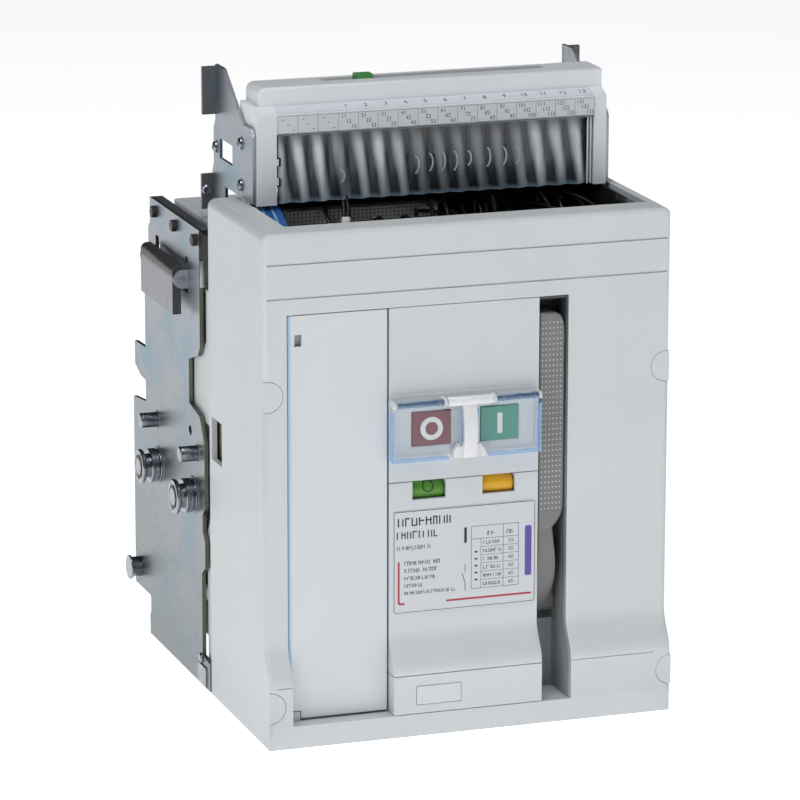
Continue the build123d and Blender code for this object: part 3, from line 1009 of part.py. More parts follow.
def carrier_bracket(side):
    """A folded steel bracket between the housing and the terminal carrier."""
    face = BRACKET_FACES[side]
    plate_x = mirrored(side, (face - BRACKET_T, face))
    prism_x(BRACKET_OUTLINE, plate_x)
    block(plate_x, (122.0, 149.2), (334.6, 347.0), Mode.SUBTRACT)
    block(mirrored(side, (face - BRACKET_T, face + 9.0)), (156.0, 158.0), (361.0, 391.0))
    block(mirrored(side, (face - BRACKET_T, face + 7.5)), (164.0, 166.0), (300.0, 322.0))
    rod_y((160, 170), (side * (face + 3.0), 312.0), 1.8, Mode.SUBTRACT)
    block(mirrored(side, (face - 9.0, face)), (138.0, 166.0), (HOUSING_TOP, HOUSING_TOP + 2.0))
    for screw_yz in BRACKET_HOLES:
        rod_x(mirrored(side, (face - 5, face + 1)), screw_yz, 1.6, Mode.SUBTRACT)


with BuildPart() as carrier_bracket_left:
    carrier_bracket(-1)
carrier_bracket_left.part.label = "carrier_bracket_left"
export_step(carrier_bracket_left.part, "parts/carrier_bracket_left.step")

with BuildPart() as carrier_bracket_right:
    carrier_bracket(1)
carrier_bracket_right.part.label = "carrier_bracket_right"
export_step(carrier_bracket_right.part, "parts/carrier_bracket_right.step")

with BuildPart() as bracket_screws:
    for side, face in BRACKET_FACES.items():
        for screw_yz in BRACKET_HOLES:
            rod_x(mirrored(side, (SCREW_ENDS[side], face)), screw_yz, 1.6)
            rod_x(mirrored(side, (face, face + 2.2)), screw_yz, 3.6)
            chamfer(bracket_screws.faces().sort_by(Axis.X)[0 if side < 0 else -1].edges(), 1.0)
        rod_x(mirrored(side, (face, face + 2.2)), (156.6, 340.1), 3.4)
bracket_screws.part.label = "bracket_screws"
export_step(bracket_screws.part, "parts/bracket_screws.step")

# ---- wiring ---------------------------------------------------------------------------------------
# Each route is a list of (x, y, z) points: terminal, bends, accessory.
WIRE_R = 1.3
RIBBON_X = (-107.0, -93.0)
SOCKET = (CARRIER_FRONT + 22, 318.2)  # y, z of the mouth of every wire socket
ROUTES = [
    [(block_middle(2), *SOCKET), (-60.0, 92.0, 304.0), (-52.0, 80.0, 288.0), (-40.0, 78.0, 266.0),
     (-26.0, 83.0, 247.6)],
    [(block_middle(3), *SOCKET), (-46.0, 90.0, 304.0), (-34.0, 76.0, 290.0), (-14.0, 74.0, 268.0),
     (-2.0, 83.0, 247.6)],
    [(block_middle(10), *SOCKET), (40.0, 92.0, 304.0), (42.0, 82.0, 288.0), (34.0, 78.0, 266.0),
     (22.0, 83.0, 247.6)],
    [(block_middle(13), *SOCKET), (78.0, 92.0, 306.0), (76.0, 78.0, 292.0), (73.0, 66.0, 282.0),
     (73.7, 63.0, 267.2)],
    [(block_middle(14), *SOCKET), (91.0, 90.0, 306.0), (93.0, 78.0, 292.0), (96.0, 68.0, 282.0),
     (97.7, 63.0, 267.2)],
]
with BuildPart() as wiring:
    for route in ROUTES:
        radii = [6.0] * (len(route) - 2)
        with BuildLine() as path:
            FilletPolyline(*route, radius=radii)
        with BuildSketch(Plane(origin=path.line @ 0, z_dir=path.line % 0)):
            Circle(WIRE_R)
        sweep(path=path.line)
    # Flat ribbon from the trip unit up to the carrier, at the front left corner.
    block(RIBBON_X, (54.0, 55.4), (262.0, 298.0))
    prism_x([(54.0, 298.0), (55.4, 297.2), (88.0, 315.6), (88.0, 317.3)], RIBBON_X)
wiring.part.label = "wiring"
export_step(wiring.part, "parts/wiring.step")
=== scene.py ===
"""Air circuit breaker: materials, fine pieces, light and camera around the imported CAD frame.

The frame's axes: +X to the right, +Y back, +Z up, y = 0 at the front plane of the cover.
Lengths are written in millimetres and turned into metres where a mesh or curve is made.
The floor, the lights and the camera are in metres.
"""

import json
import math
import random

import bmesh
import bpy
from mathutils import Matrix, Vector


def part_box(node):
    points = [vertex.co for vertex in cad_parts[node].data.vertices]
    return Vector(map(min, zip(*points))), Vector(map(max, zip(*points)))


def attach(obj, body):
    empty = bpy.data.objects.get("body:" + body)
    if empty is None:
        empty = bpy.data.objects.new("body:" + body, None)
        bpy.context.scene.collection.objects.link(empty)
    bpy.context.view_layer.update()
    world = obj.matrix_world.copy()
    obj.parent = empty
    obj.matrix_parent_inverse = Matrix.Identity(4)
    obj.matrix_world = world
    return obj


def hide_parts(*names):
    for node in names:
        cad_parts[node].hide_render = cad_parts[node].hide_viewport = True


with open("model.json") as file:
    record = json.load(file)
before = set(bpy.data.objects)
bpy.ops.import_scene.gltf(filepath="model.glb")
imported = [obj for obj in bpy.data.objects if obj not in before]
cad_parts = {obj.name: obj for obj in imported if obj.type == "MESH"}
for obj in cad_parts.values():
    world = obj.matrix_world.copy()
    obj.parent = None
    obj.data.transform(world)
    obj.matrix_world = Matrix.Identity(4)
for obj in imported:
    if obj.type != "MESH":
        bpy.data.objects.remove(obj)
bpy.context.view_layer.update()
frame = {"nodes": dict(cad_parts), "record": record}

MM = 0.001
NODES = frame["nodes"]


# ---- places taken from the frame -------------------------------------------
def span(node):
    """The lowest and highest corner of a CAD node, in millimetres."""
    low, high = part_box(node)
    return low / MM, high / MM


HANDLE = span("charging_handle")
OFF_BUTTON = span("off_button")
ON_BUTTON = span("on_button")
WINDOW = span("carrier_window")
STRIPS = span("number_strips")
SIDES = {-1: "left", 1: "right"}
PLATE_OUT = 130.0  # outer faces of the side plates, as |x|
PLATE_IN = 127.4  # their inner faces
BRACKET_FACES = {-1: 111.3, 1: 119.8}  # outer faces of the carrier brackets, as |x|
PIN_PLACES = ((140.4, 149.5), (230.0, 149.5))  # y, z of the guide pins
ROLLER_PLACES = ((149.8, 120.0), (227.8, 120.0))  # y, z of the roller axles
FLAP_HINGE = (-7.6, 208.5)  # y, z of the flaps' hinge line
COLUMNS = 16
FLUTE = (STRIPS[1][0] - STRIPS[0][0]) / COLUMNS  # pitch of the window's flutes and of the number columns
HARNESS_X = (-14.0, 66.0)  # where the dark harness lies behind the window


# ---- materials ---------------------------------------------------------------
def srgb(red, green, blue):
    """A display colour of 0 to 255 as linear values with alpha."""
    values = []
    for share in (red / 255, green / 255, blue / 255):
        values.append(share / 12.92 if share <= 0.04045 else ((share + 0.055) / 1.055) ** 2.4)
    return (*values, 1.0)


def shade(colour, factor, lift=0.0):
    """A colour made lighter or darker."""
    return tuple(min(1.0, c * factor + lift) for c in colour[:3]) + (1.0,)


class Shader:
    """One procedural material around a Principled surface. Lengths in patterns are in millimetres."""

    def __init__(self, name, **sockets):
        self.material = bpy.data.materials.new(name)
        self.material.use_nodes = True
        self.tree = self.material.node_tree
        self.surface = self.tree.nodes["Principled BSDF"]
        for socket, value in sockets.items():
            self.surface.inputs[socket.replace("_", " ")].default_value = value
        self.place = self.tree.nodes.new("ShaderNodeTexCoord").outputs["Object"]

    def add(self, kind, inputs=None, **settings):
        """A node with its settings and its inputs, given by name or number, as values or as links."""
        node = self.tree.nodes.new("ShaderNode" + kind)
        for key, value in settings.items():
            setattr(node, key, value)
        for key, value in (inputs or {}).items():
            if isinstance(value, bpy.types.NodeSocket):
                self.tree.links.new(value, node.inputs[key])
            else:
                node.inputs[key].default_value = value
        return node

    def scaled(self, stretch):
        """The place in the object, stretched along X, Y and Z."""
        return self.add("Mapping", {"Vector": self.place, "Scale": stretch}).outputs[0]

    def noise(self, size, detail=3.0, roughness=0.55, stretch=None):
        """Cloudy noise from 0 to 1 whose features are about size millimetres across."""
        vector = self.scaled(stretch) if stretch else self.place
        inputs = {"Vector": vector, "Scale": 1.0 / (size * MM), "Detail": detail, "Roughness": roughness}
        return self.add("TexNoise", inputs).outputs[0]

    def ramp(self, value, low, high, low_out=0.0, high_out=1.0):
        """Value taken from low..high to low_out..high_out, clamped."""
        inputs = {0: value, 1: low, 2: high, 3: low_out, 4: high_out}
        return self.add("MapRange", inputs).outputs[0]

    def math(self, operation, first, second=0.0):
        """One step of arithmetic."""
        return self.add("Math", {0: first, 1: second}, operation=operation).outputs[0]

    def mix(self, factor, first, second):
        """Colours mixed by factor."""
        return self.add("Mix", {0: factor, 6: first, 7: second}, data_type="RGBA").outputs[2]

    def split(self, vector):
        """The X, Y and Z of a vector."""
        return self.add("SeparateXYZ", {0: vector}).outputs

    def colour(self, value):
        """Links the surface's base colour."""
        self.set("Base Color", value)

    def set(self, socket, value):
        """Links a socket of the surface."""
        self.tree.links.new(value, self.surface.inputs[socket])

    def bump(self, *layers):
        """Bumps from (height, depth in millimetres) layers."""
        normal = None
        for height, depth in layers:
            inputs = {"Height": height, "Distance": depth * MM, "Strength": 1.0}
            if normal:
                inputs["Normal"] = normal
            normal = self.add("Bump", inputs).outputs[0]
        self.set("Normal", normal)


FOOT_SHADE_FULL, FOOT_SHADE_END = 12 * MM, 42 * MM  # heights between which the painted shade at a foot fades out


def moulded(name, colour, roughness=0.42, grain=0.5, grain_depth=0.02, mottle=0.05, foot=0.0, **sockets):
    """Moulded plastic: spark-eroded grain, flow marks, dirt specks, scuffs in the gloss, painted shade
    towards its foot.
    """
    shader = Shader(name, **sockets)
    flow = shader.noise(60.0, 2.0)
    specks = shader.noise(0.9, 2.0)
    base = shader.mix(shader.ramp(flow, 0.3, 0.7), shade(colour, 1 - mottle), shade(colour, 1 + mottle))
    # a darker tone, used for dirt specks and for the painted shade at the foot
    dirt_and_shade = shade(colour, 0.86)
    base = shader.mix(shader.ramp(specks, 0.60, 0.80, 0.0, 0.35), base, dirt_and_shade)
    # painted shade: the plastic darkens towards its foot
    if foot:
        height = shader.split(shader.place)[2]
        base = shader.mix(shader.ramp(height, FOOT_SHADE_FULL, FOOT_SHADE_END, foot, 0.0), base, dirt_and_shade)
    shader.colour(base)
    scuffs = shader.noise(14.0, 5.0, 0.7)
    shader.set("Roughness", shader.ramp(scuffs, 0.25, 0.75, roughness - 0.07, roughness + 0.09))
    shader.bump((shader.noise(grain, 2.0), grain_depth), (shader.noise(25.0, 1.0), 0.02))
    return shader.material


def clear(name, colour, rim_colour, box, haze=0.06, rim_haze=0.64, rim=1.7, roughness=0.05):
    """Clear moulded plastic, tinted along its sides and foot. box is the piece's span."""
    shader = Shader(name, IOR=1.7, Coat_Weight=0.6, Coat_Roughness=0.03)
    x, _, z = shader.split(shader.place)
    edges = []
    for place, end, sign in ((x, box[0][0], 1.0), (x, box[1][0], -1.0), (z, box[0][2], 1.0)):
        inward = shader.math("MULTIPLY", shader.math("SUBTRACT", place, end * MM), sign)
        edges.append(shader.ramp(inward, rim * 0.4 * MM, rim * MM, 1.0, 0.0))
    near_edge = edges[0]
    for edge in edges[1:]:
        near_edge = shader.math("MAXIMUM", near_edge, edge)
    cloud = shader.noise(14.0, 3.0)
    body = shader.mix(shader.ramp(cloud, 0.35, 0.7), colour, shade(colour, 1.12))
    barrel = shader.ramp(z, (box[1][2] - 7) * MM, (box[1][2] - 4) * MM)
    body = shader.mix(shader.math("MULTIPLY", barrel, 0.75), body, rim_colour)
    shader.colour(shader.mix(near_edge, body, rim_colour))
    thick = shader.math("MAXIMUM", near_edge, shader.math("MULTIPLY", barrel, 0.30))
    shader.set("Alpha", shader.ramp(thick, 0.0, 1.0, haze, rim_haze))
    smears = shader.noise(9.0, 4.0, 0.65)
    shader.set("Roughness", shader.ramp(smears, 0.35, 0.75, roughness, roughness + 0.08))
    shader.bump((shader.noise(6.0, 1.0), 0.04))
    return shader.material


def door_plastic(name):
    """Frosted door moulding, blue where light gathers in its two long edges."""
    shader = Shader(name, Coat_Weight=0.25, Coat_Roughness=0.15)
    low, high = span("trip_door")
    x, _, z = shader.split(shader.place)
    left = shader.ramp(x, (low[0] + 1.0) * MM, (low[0] + 2.6) * MM, 0.9, 0.0)
    right = shader.ramp(x, (high[0] - 0.6) * MM, (high[0] - 0.1) * MM, 0.0, 0.35)
    foot = shader.ramp(z, (low[2] + 0.6) * MM, (low[2] + 1.8) * MM, 0.8, 0.0)
    edge = shader.math("MAXIMUM", shader.math("MAXIMUM", left, right), foot)
    flow = shader.noise(55.0, 2.0, stretch=(1.0, 1.0, 0.4))
    face = shader.mix(shader.ramp(flow, 0.3, 0.7), srgb(209, 215, 218), srgb(215, 220, 223))
    shader.colour(shader.mix(edge, face, srgb(156, 196, 226)))
    shader.set("Roughness", shader.ramp(shader.noise(12.0, 5.0, 0.7), 0.25, 0.75, 0.32, 0.44))
    shader.bump((shader.noise(0.5, 2.0), 0.012))
    return shader.material


def frosted_flutes(name):
    """Frosted window whose flutes carry bands of painted highlight and painted shade, the haze varying with
    them, and a dark harness showing through.
    """
    shader = Shader(name, IOR=1.5, Coat_Weight=0.5, Coat_Roughness=0.12)
    x, _, z = shader.split(shader.place)
    sway = shader.math("MULTIPLY", shader.noise(16.0, 2.0, 0.5, stretch=(1.0, 1.0, 0.4)), 0.004)
    slant = shader.math("ADD", shader.math("MULTIPLY", z, 0.16), sway)
    turn = shader.math("MULTIPLY", shader.math("ADD", x, slant), 2 * math.pi / (FLUTE * MM))
    # band: painted highlight and painted shade across each flute; the alpha's haze follows it too
    band = shader.ramp(shader.math("SINE", shader.math("ADD", turn, 0.9)), -0.5, 0.95)
    cloud = shader.noise(11.0, 4.0, 0.6, stretch=(1.0, 1.0, 0.35))
    harness = shader.ramp(shader.noise(26.0, 2.0, stretch=(1.0, 1.0, 0.25)), 0.44, 0.56)
    left_side = shader.ramp(x, HARNESS_X[0] * MM, (HARNESS_X[0] + 8) * MM)
    right_side = shader.ramp(x, (HARNESS_X[1] - 8) * MM, HARNESS_X[1] * MM, 1.0, 0.0)
    shade = shader.math("MULTIPLY", shader.math("MULTIPLY", left_side, right_side), 0.85)
    wire_left, wire_right = shader.ramp(x, -0.061, -0.057), shader.ramp(x, -0.051, -0.047, 0.8, 0.0)
    wire = shader.math("MULTIPLY", wire_left, wire_right)
    shade = shader.math("MAXIMUM", shader.math("MAXIMUM", shade, wire), shader.math("MULTIPLY", harness, 0.3))
    lit = shader.mix(shader.ramp(cloud, 0.3, 0.7), srgb(186, 198, 208), srgb(236, 244, 250))
    # each band runs from painted shade to a painted highlight, over the frosted grey and over the dark
    # harness
    grey = shader.mix(band, srgb(58, 66, 74), lit)
    dark = shader.mix(band, srgb(18, 20, 23), srgb(104, 112, 120))
    head = shader.ramp(z, (WINDOW[1][2] - 9) * MM, WINDOW[1][2] * MM, 0.0, 0.6)
    look = shader.mix(head, shader.mix(shade, grey, dark), srgb(48, 54, 60))
    foot = shader.ramp(z, WINDOW[0][2] * MM, (WINDOW[0][2] + 3) * MM, 0.5, 0.0)
    shader.colour(shader.mix(foot, look, srgb(150, 182, 206)))
    shader.set("Alpha", shader.ramp(band, 0.0, 1.0, 0.92, 0.98))
    shader.set("Roughness", shader.ramp(cloud, 0.3, 0.7, 0.16, 0.30))
    shader.bump((shader.noise(0.8, 3.0), 0.05), (cloud, 0.3))
    return shader.material


def recess(name):
    """Grey liner of the handle slot, with painted shade darkening it towards its top, and lighter low down.
    """
    shader = Shader(name)
    z = shader.split(shader.place)[2]
    # painted shade up in the slot's top
    depth = shader.ramp(z, 0.16, 0.262)
    cloud = shader.noise(30.0, 3.0)
    grey = shader.mix(shader.ramp(cloud, 0.3, 0.7), srgb(104, 108, 111), srgb(114, 118, 121))
    # lighter low in the slot
    grey = shader.mix(shader.ramp(z, 0.05, 0.10, 0.7, 0.0), grey, srgb(164, 168, 171))
    shader.colour(shader.mix(depth, grey, srgb(72, 76, 80)))
    shader.set("Roughness", shader.ramp(shader.noise(9.0, 4.0), 0.3, 0.7, 0.40, 0.52))
    shader.bump((shader.noise(0.6, 2.0), 0.02))
    return shader.material


def turned(name, colour, roughness=0.25, **sockets):
    """Bright turned and plated steel with fine tool marks and dull patches."""
    shader = Shader(name, Metallic=1.0, **sockets)
    patches = shader.noise(6.0, 4.0, 0.6)
    marks = shader.noise(0.35, 2.0, stretch=(1.0, 0.25, 0.25))
    shader.colour(shader.mix(shader.ramp(patches, 0.35, 0.75), colour, shade(colour, 0.72)))
    shader.set("Roughness", shader.ramp(patches, 0.3, 0.7, roughness, roughness + 0.18))
    shader.bump((marks, 0.01))
    return shader.material


def zinc(name, edge_colour, edge_from=PLATE_IN):
    """Blue zinc plating: rolled grain, faint rainbow blotches, stains and olive cut edges of the plates."""
    shader = Shader(name, Metallic=0.9)
    rolled = shader.noise(1.6, 4.0, 0.6, stretch=(1.0, 1.0, 0.3))
    blotches = shader.noise(46.0, 3.0, 0.5)
    patches = shader.noise(23.0, 3.0, 0.6, stretch=(1.0, 1.0, 0.8))
    tint = shader.mix(shader.ramp(blotches, 0.46, 0.68), srgb(164, 168, 176), srgb(132, 162, 178))
    tint = shader.mix(shader.ramp(patches, 0.56, 0.74, 0.0, 0.6), tint, srgb(164, 170, 158))
    tint = shader.mix(shader.ramp(patches, 0.42, 0.28, 0.0, 0.6), tint, srgb(166, 158, 172))
    stains = shader.noise(7.0, 5.0, 0.7)
    tint = shader.mix(shader.ramp(stains, 0.60, 0.78, 0.0, 0.5), tint, srgb(112, 118, 124))
    tint = shader.mix(shader.ramp(rolled, 0.35, 0.75, 0.0, 0.25), tint, srgb(112, 120, 128))
    height = shader.ramp(shader.split(shader.place)[2], 0.02, 0.24, 0.72, 0.0)
    tint = shader.mix(height, tint, srgb(104, 114, 114))
    facing = shader.tree.nodes.new("ShaderNodeTexCoord").outputs["Normal"]
    sideways = shader.math("ABSOLUTE", shader.split(facing)[0])
    reach = shader.math("ABSOLUTE", shader.split(shader.place)[0])
    sheet = shader.math("MULTIPLY", shader.math("GREATER_THAN", reach, edge_from * MM),
                        shader.math("LESS_THAN", reach, (PLATE_OUT + 0.3) * MM))
    cut = shader.math("MULTIPLY", sheet, shader.ramp(sideways, 0.55, 0.75, 1.0, 0.0))
    shader.colour(shader.mix(cut, tint, edge_colour))
    scratches = shader.noise(3.0, 6.0, 0.7, stretch=(1.0, 0.3, 1.4))
    shader.set("Roughness", shader.ramp(scratches, 0.35, 0.7, 0.34, 0.42))
    shader.bump((rolled, 0.008), (shader.noise(60.0, 1.0), 0.35))
    return shader.material


def flap_paint(name):
    """Grainy grey paint on the lifting flaps, dark where it rolls over the top, with painted shade on the
    cheeks.
    """
    shader = Shader(name, Metallic=0.3)
    wear = shader.noise(2.4, 6.0, 0.75)
    grains = shader.noise(0.9, 3.0)
    face = shader.mix(shader.ramp(grains, 0.35, 0.65), srgb(132, 134, 138), srgb(160, 162, 166))
    facing = shader.tree.nodes.new("ShaderNodeTexCoord").outputs["Normal"]
    # painted shade on the cheeks: faces turned to the front and back are darkened
    shaded_cheek = shader.ramp(shader.math("ABSOLUTE", shader.split(facing)[1]), 0.6, 0.8)
    top = shader.ramp(shader.split(shader.place)[2], 0.2575, 0.2605)
    dark = shader.math("MAXIMUM", shaded_cheek, top)
    paint = shader.mix(dark, face, srgb(66, 66, 68))
    shader.colour(shader.mix(shader.ramp(wear, 0.60, 0.76, 0.0, 0.5), paint, srgb(196, 198, 200)))
    shader.set("Roughness", shader.ramp(wear, 0.3, 0.7, 0.46, 0.36))
    shader.bump((grains, 0.04), (shader.noise(18.0, 1.0), 0.1))
    return shader.material


def coated(name, colour, roughness=0.5, grain=0.7):
    """Textured paint or black oxide on steel, worn a little to the metal."""
    shader = Shader(name, Metallic=0.35)
    wear = shader.noise(2.4, 6.0, 0.75)
    shader.colour(shader.mix(shader.ramp(wear, 0.58, 0.75, 0.0, 0.6), colour, shade(colour, 1.6, 0.03)))
    shader.set("Roughness", shader.ramp(wear, 0.3, 0.7, roughness, roughness - 0.15))
    speckle = shader.noise(0.8, 3.0)
    shader.bump((shader.noise(grain, 2.0), 0.05), (speckle, 0.05))
    return shader.material


def copper(name):
    """Silver-plated copper, the plating thin in places and slightly tarnished."""
    shader = Shader(name, Metallic=1.0)
    thin = shader.noise(11.0, 4.0, 0.6)
    tarnish = shader.noise(4.0, 5.0, 0.7)
    base = shader.mix(shader.ramp(thin, 0.42, 0.62), srgb(214, 148, 112), srgb(205, 196, 186))
    shader.colour(shader.mix(shader.ramp(tarnish, 0.55, 0.8, 0.0, 0.7), base, srgb(120, 92, 74)))
    shader.set("Roughness", shader.ramp(tarnish, 0.3, 0.7, 0.24, 0.46))
    shader.bump((shader.noise(0.5, 2.0, stretch=(1.0, 0.2, 1.0)), 0.01))
    return shader.material


def printed(name, colour, roughness=0.4):
    """Ink or film on a label, with a faint screen grain."""
    shader = Shader(name)
    grain = shader.noise(0.35, 2.0)
    shader.colour(shader.mix(shader.ramp(grain, 0.4, 0.7, 0.0, 0.5), colour, shade(colour, 1.15, 0.01)))
    shader.set("Roughness", shader.ramp(shader.noise(8.0, 4.0), 0.3, 0.7, roughness - 0.06, roughness + 0.08))
    shader.bump((grain, 0.004))
    return shader.material


COVER_GREY = srgb(208, 213, 216)
FLAP_TINT, FLAP_RIM = srgb(214, 232, 250), srgb(118, 176, 230)
MATERIALS = {
    # foot: how strongly painted shade darkens the cover and the panels towards their foot
    "cover_plastic": moulded("cover_plastic", COVER_GREY, mottle=0.02, foot=0.8),
    "panel_plastic": moulded("panel_plastic", srgb(209, 214, 217), roughness=0.40, mottle=0.02, foot=0.6),
    "door_clear": door_plastic("door_clear"),
    "blue_clear": clear("blue_clear", FLAP_TINT, FLAP_RIM, span("flap_left")),
    "clasp_white": moulded("clasp_white", srgb(228, 229, 232), roughness=0.28, grain_depth=0.006),
    "button_red": moulded("button_red", srgb(116, 10, 38), roughness=0.35, grain_depth=0.01),
    "button_green": moulded("button_green", srgb(34, 142, 120), roughness=0.35, grain_depth=0.01),
    "flag_green": moulded("flag_green", srgb(88, 152, 52), roughness=0.35, grain_depth=0.008),
    "flag_yellow": moulded("flag_yellow", srgb(236, 178, 40), roughness=0.35, grain_depth=0.008),
    "label_print": printed("label_print", srgb(206, 210, 214)),
    "handle_grey": moulded("handle_grey", srgb(122, 121, 120), roughness=0.38, grain_depth=0.012),
    "recess_dark": recess("recess_dark"),
    "zinc_steel": zinc("zinc_steel", srgb(112, 116, 98)),
    "bright_steel": turned("bright_steel", srgb(150, 156, 162), roughness=0.14),
    "grey_steel": flap_paint("grey_steel"),
    "black_steel": coated("black_steel", srgb(34, 35, 37), grain=0.4),
    "black_plastic": moulded("black_plastic", srgb(26, 27, 29), roughness=0.6, Specular_IOR_Level=0.25),
    "housing_grey": moulded("housing_grey", srgb(200, 203, 206), roughness=0.5, grain_depth=0.04),
    "chute_cream": moulded("chute_cream", srgb(200, 196, 184), roughness=0.55, grain_depth=0.05),
    "splitter_steel": turned("splitter_steel", srgb(150, 146, 138), roughness=0.4),
    "copper": copper("copper"),
    "carrier_plastic": moulded("carrier_plastic", srgb(224, 229, 234), roughness=0.40, mottle=0.02),
    "window_clear": frosted_flutes("window_clear"),
    "block_grey": moulded("block_grey", srgb(96, 100, 104), roughness=0.5),
    "strip_print": printed("strip_print", srgb(208, 213, 220)),
    "plug_green": moulded("plug_green", srgb(72, 150, 78), roughness=0.4),
    "wire_insulation": moulded("wire_insulation", srgb(20, 20, 22), roughness=0.22, grain_depth=0.006),
    "coil_tape": moulded("coil_tape", srgb(170, 120, 60), roughness=0.5, grain_depth=0.05),
    "frame_steel": zinc("frame_steel", srgb(176, 178, 172), edge_from=0.0),
    "spring_steel": turned("spring_steel", srgb(120, 122, 126), roughness=0.3),
    "unit_grey": moulded("unit_grey", srgb(200, 204, 208), roughness=0.5),
}
INK = printed("ink_black", srgb(30, 31, 36))
RED_INK = printed("ink_red", srgb(176, 44, 62))
VIOLET_INK = printed("ink_violet", srgb(92, 74, 160))
GREY_INK = printed("ink_grey", srgb(112, 116, 122))
ROD_STEEL = turned("rod_steel", srgb(92, 106, 124), roughness=0.12)
BRONZE = turned("bronze", srgb(112, 102, 84), roughness=0.3)
# light grey that paints glints on the blocks' catches
CATCH_GLINT = moulded("catch_glint", srgb(176, 188, 198), roughness=0.2, grain_depth=0.004)
DOT_GREY = moulded("dot_grey", srgb(206, 206, 202), roughness=0.3, grain_depth=0.004)
SEAT_STEEL = coated("seat_steel", srgb(120, 122, 126))
# dark coat that paints shade on the brackets' blades
SHADED_BLADE = coated("shaded_blade", srgb(92, 96, 100))
POCKET_ZINC = coated("pocket_zinc", srgb(150, 152, 156))
BLUE_WIRE = moulded("ribbon_blue", srgb(42, 96, 160), roughness=0.3, grain_depth=0.006)
PALE_BLUE_WIRE = moulded("ribbon_pale_blue", srgb(132, 176, 216), roughness=0.3, grain_depth=0.006)
WHITE_SLEEVE = moulded("sleeve_white", srgb(226, 226, 222), roughness=0.35)
PLATE_BEIGE = coated("plate_beige", srgb(160, 154, 132))
# black that stands in for the painted shade inside holes, cross recesses and hollows
HOLE_SHADE = moulded("hole_shade", srgb(14, 14, 15), roughness=0.6)


# ---- CAD nodes: finish and edge rounding --------------------------------------
BEVELS = {
    "front_cover": 0.8, "control_panel": 0.35, "lower_panel": 0.35, "lower_fascia": 0.35, "label_plates": 0.1,
    "charging_handle": 0.5, "flap_clasp": 0.4, "carrier_window": 0.2, "number_strips": 0.08, "wiring": 0.1,
}
DEFAULT_BEVEL = 0.25
SHARP_ANGLE = math.radians(32)
FLAT_ANGLE = math.radians(0.5)


def finish_node(name, material):
    """Gives a CAD node its material and rounds its sharp edges a little."""
    node = NODES[name]
    node.data.materials.clear()
    node.data.materials.append(material)
    weld = node.modifiers.new("weld", "WELD")
    weld.merge_threshold = 1e-6
    flat = node.modifiers.new("flat", "DECIMATE")
    flat.decimate_type = "DISSOLVE"
    flat.angle_limit = FLAT_ANGLE
    bevel = node.modifiers.new("edge_round", "BEVEL")
    bevel.width = BEVELS.get(name, DEFAULT_BEVEL) * MM
    bevel.segments = 2
    bevel.limit_method = "ANGLE"
    bevel.angle_limit = SHARP_ANGLE
    bevel.use_clamp_overlap = True
    bevel.harden_normals = True


for part in frame["record"]["subparts"]:
    finish_node(part["node"], MATERIALS[part["material_slot"]])
RIGHT_FLAP = clear("blue_clear_right", FLAP_TINT, FLAP_RIM, span("flap_right"))
NODES["flap_right"].data.materials[0] = RIGHT_FLAP


# ---- pieces: meshes and curves made in millimetres -------------------------------
ALONG = {"X": (0, 1, 2), "Y": (1, 0, 2), "Z": (2, 0, 1)}  # the drawn axis, then the outline's two


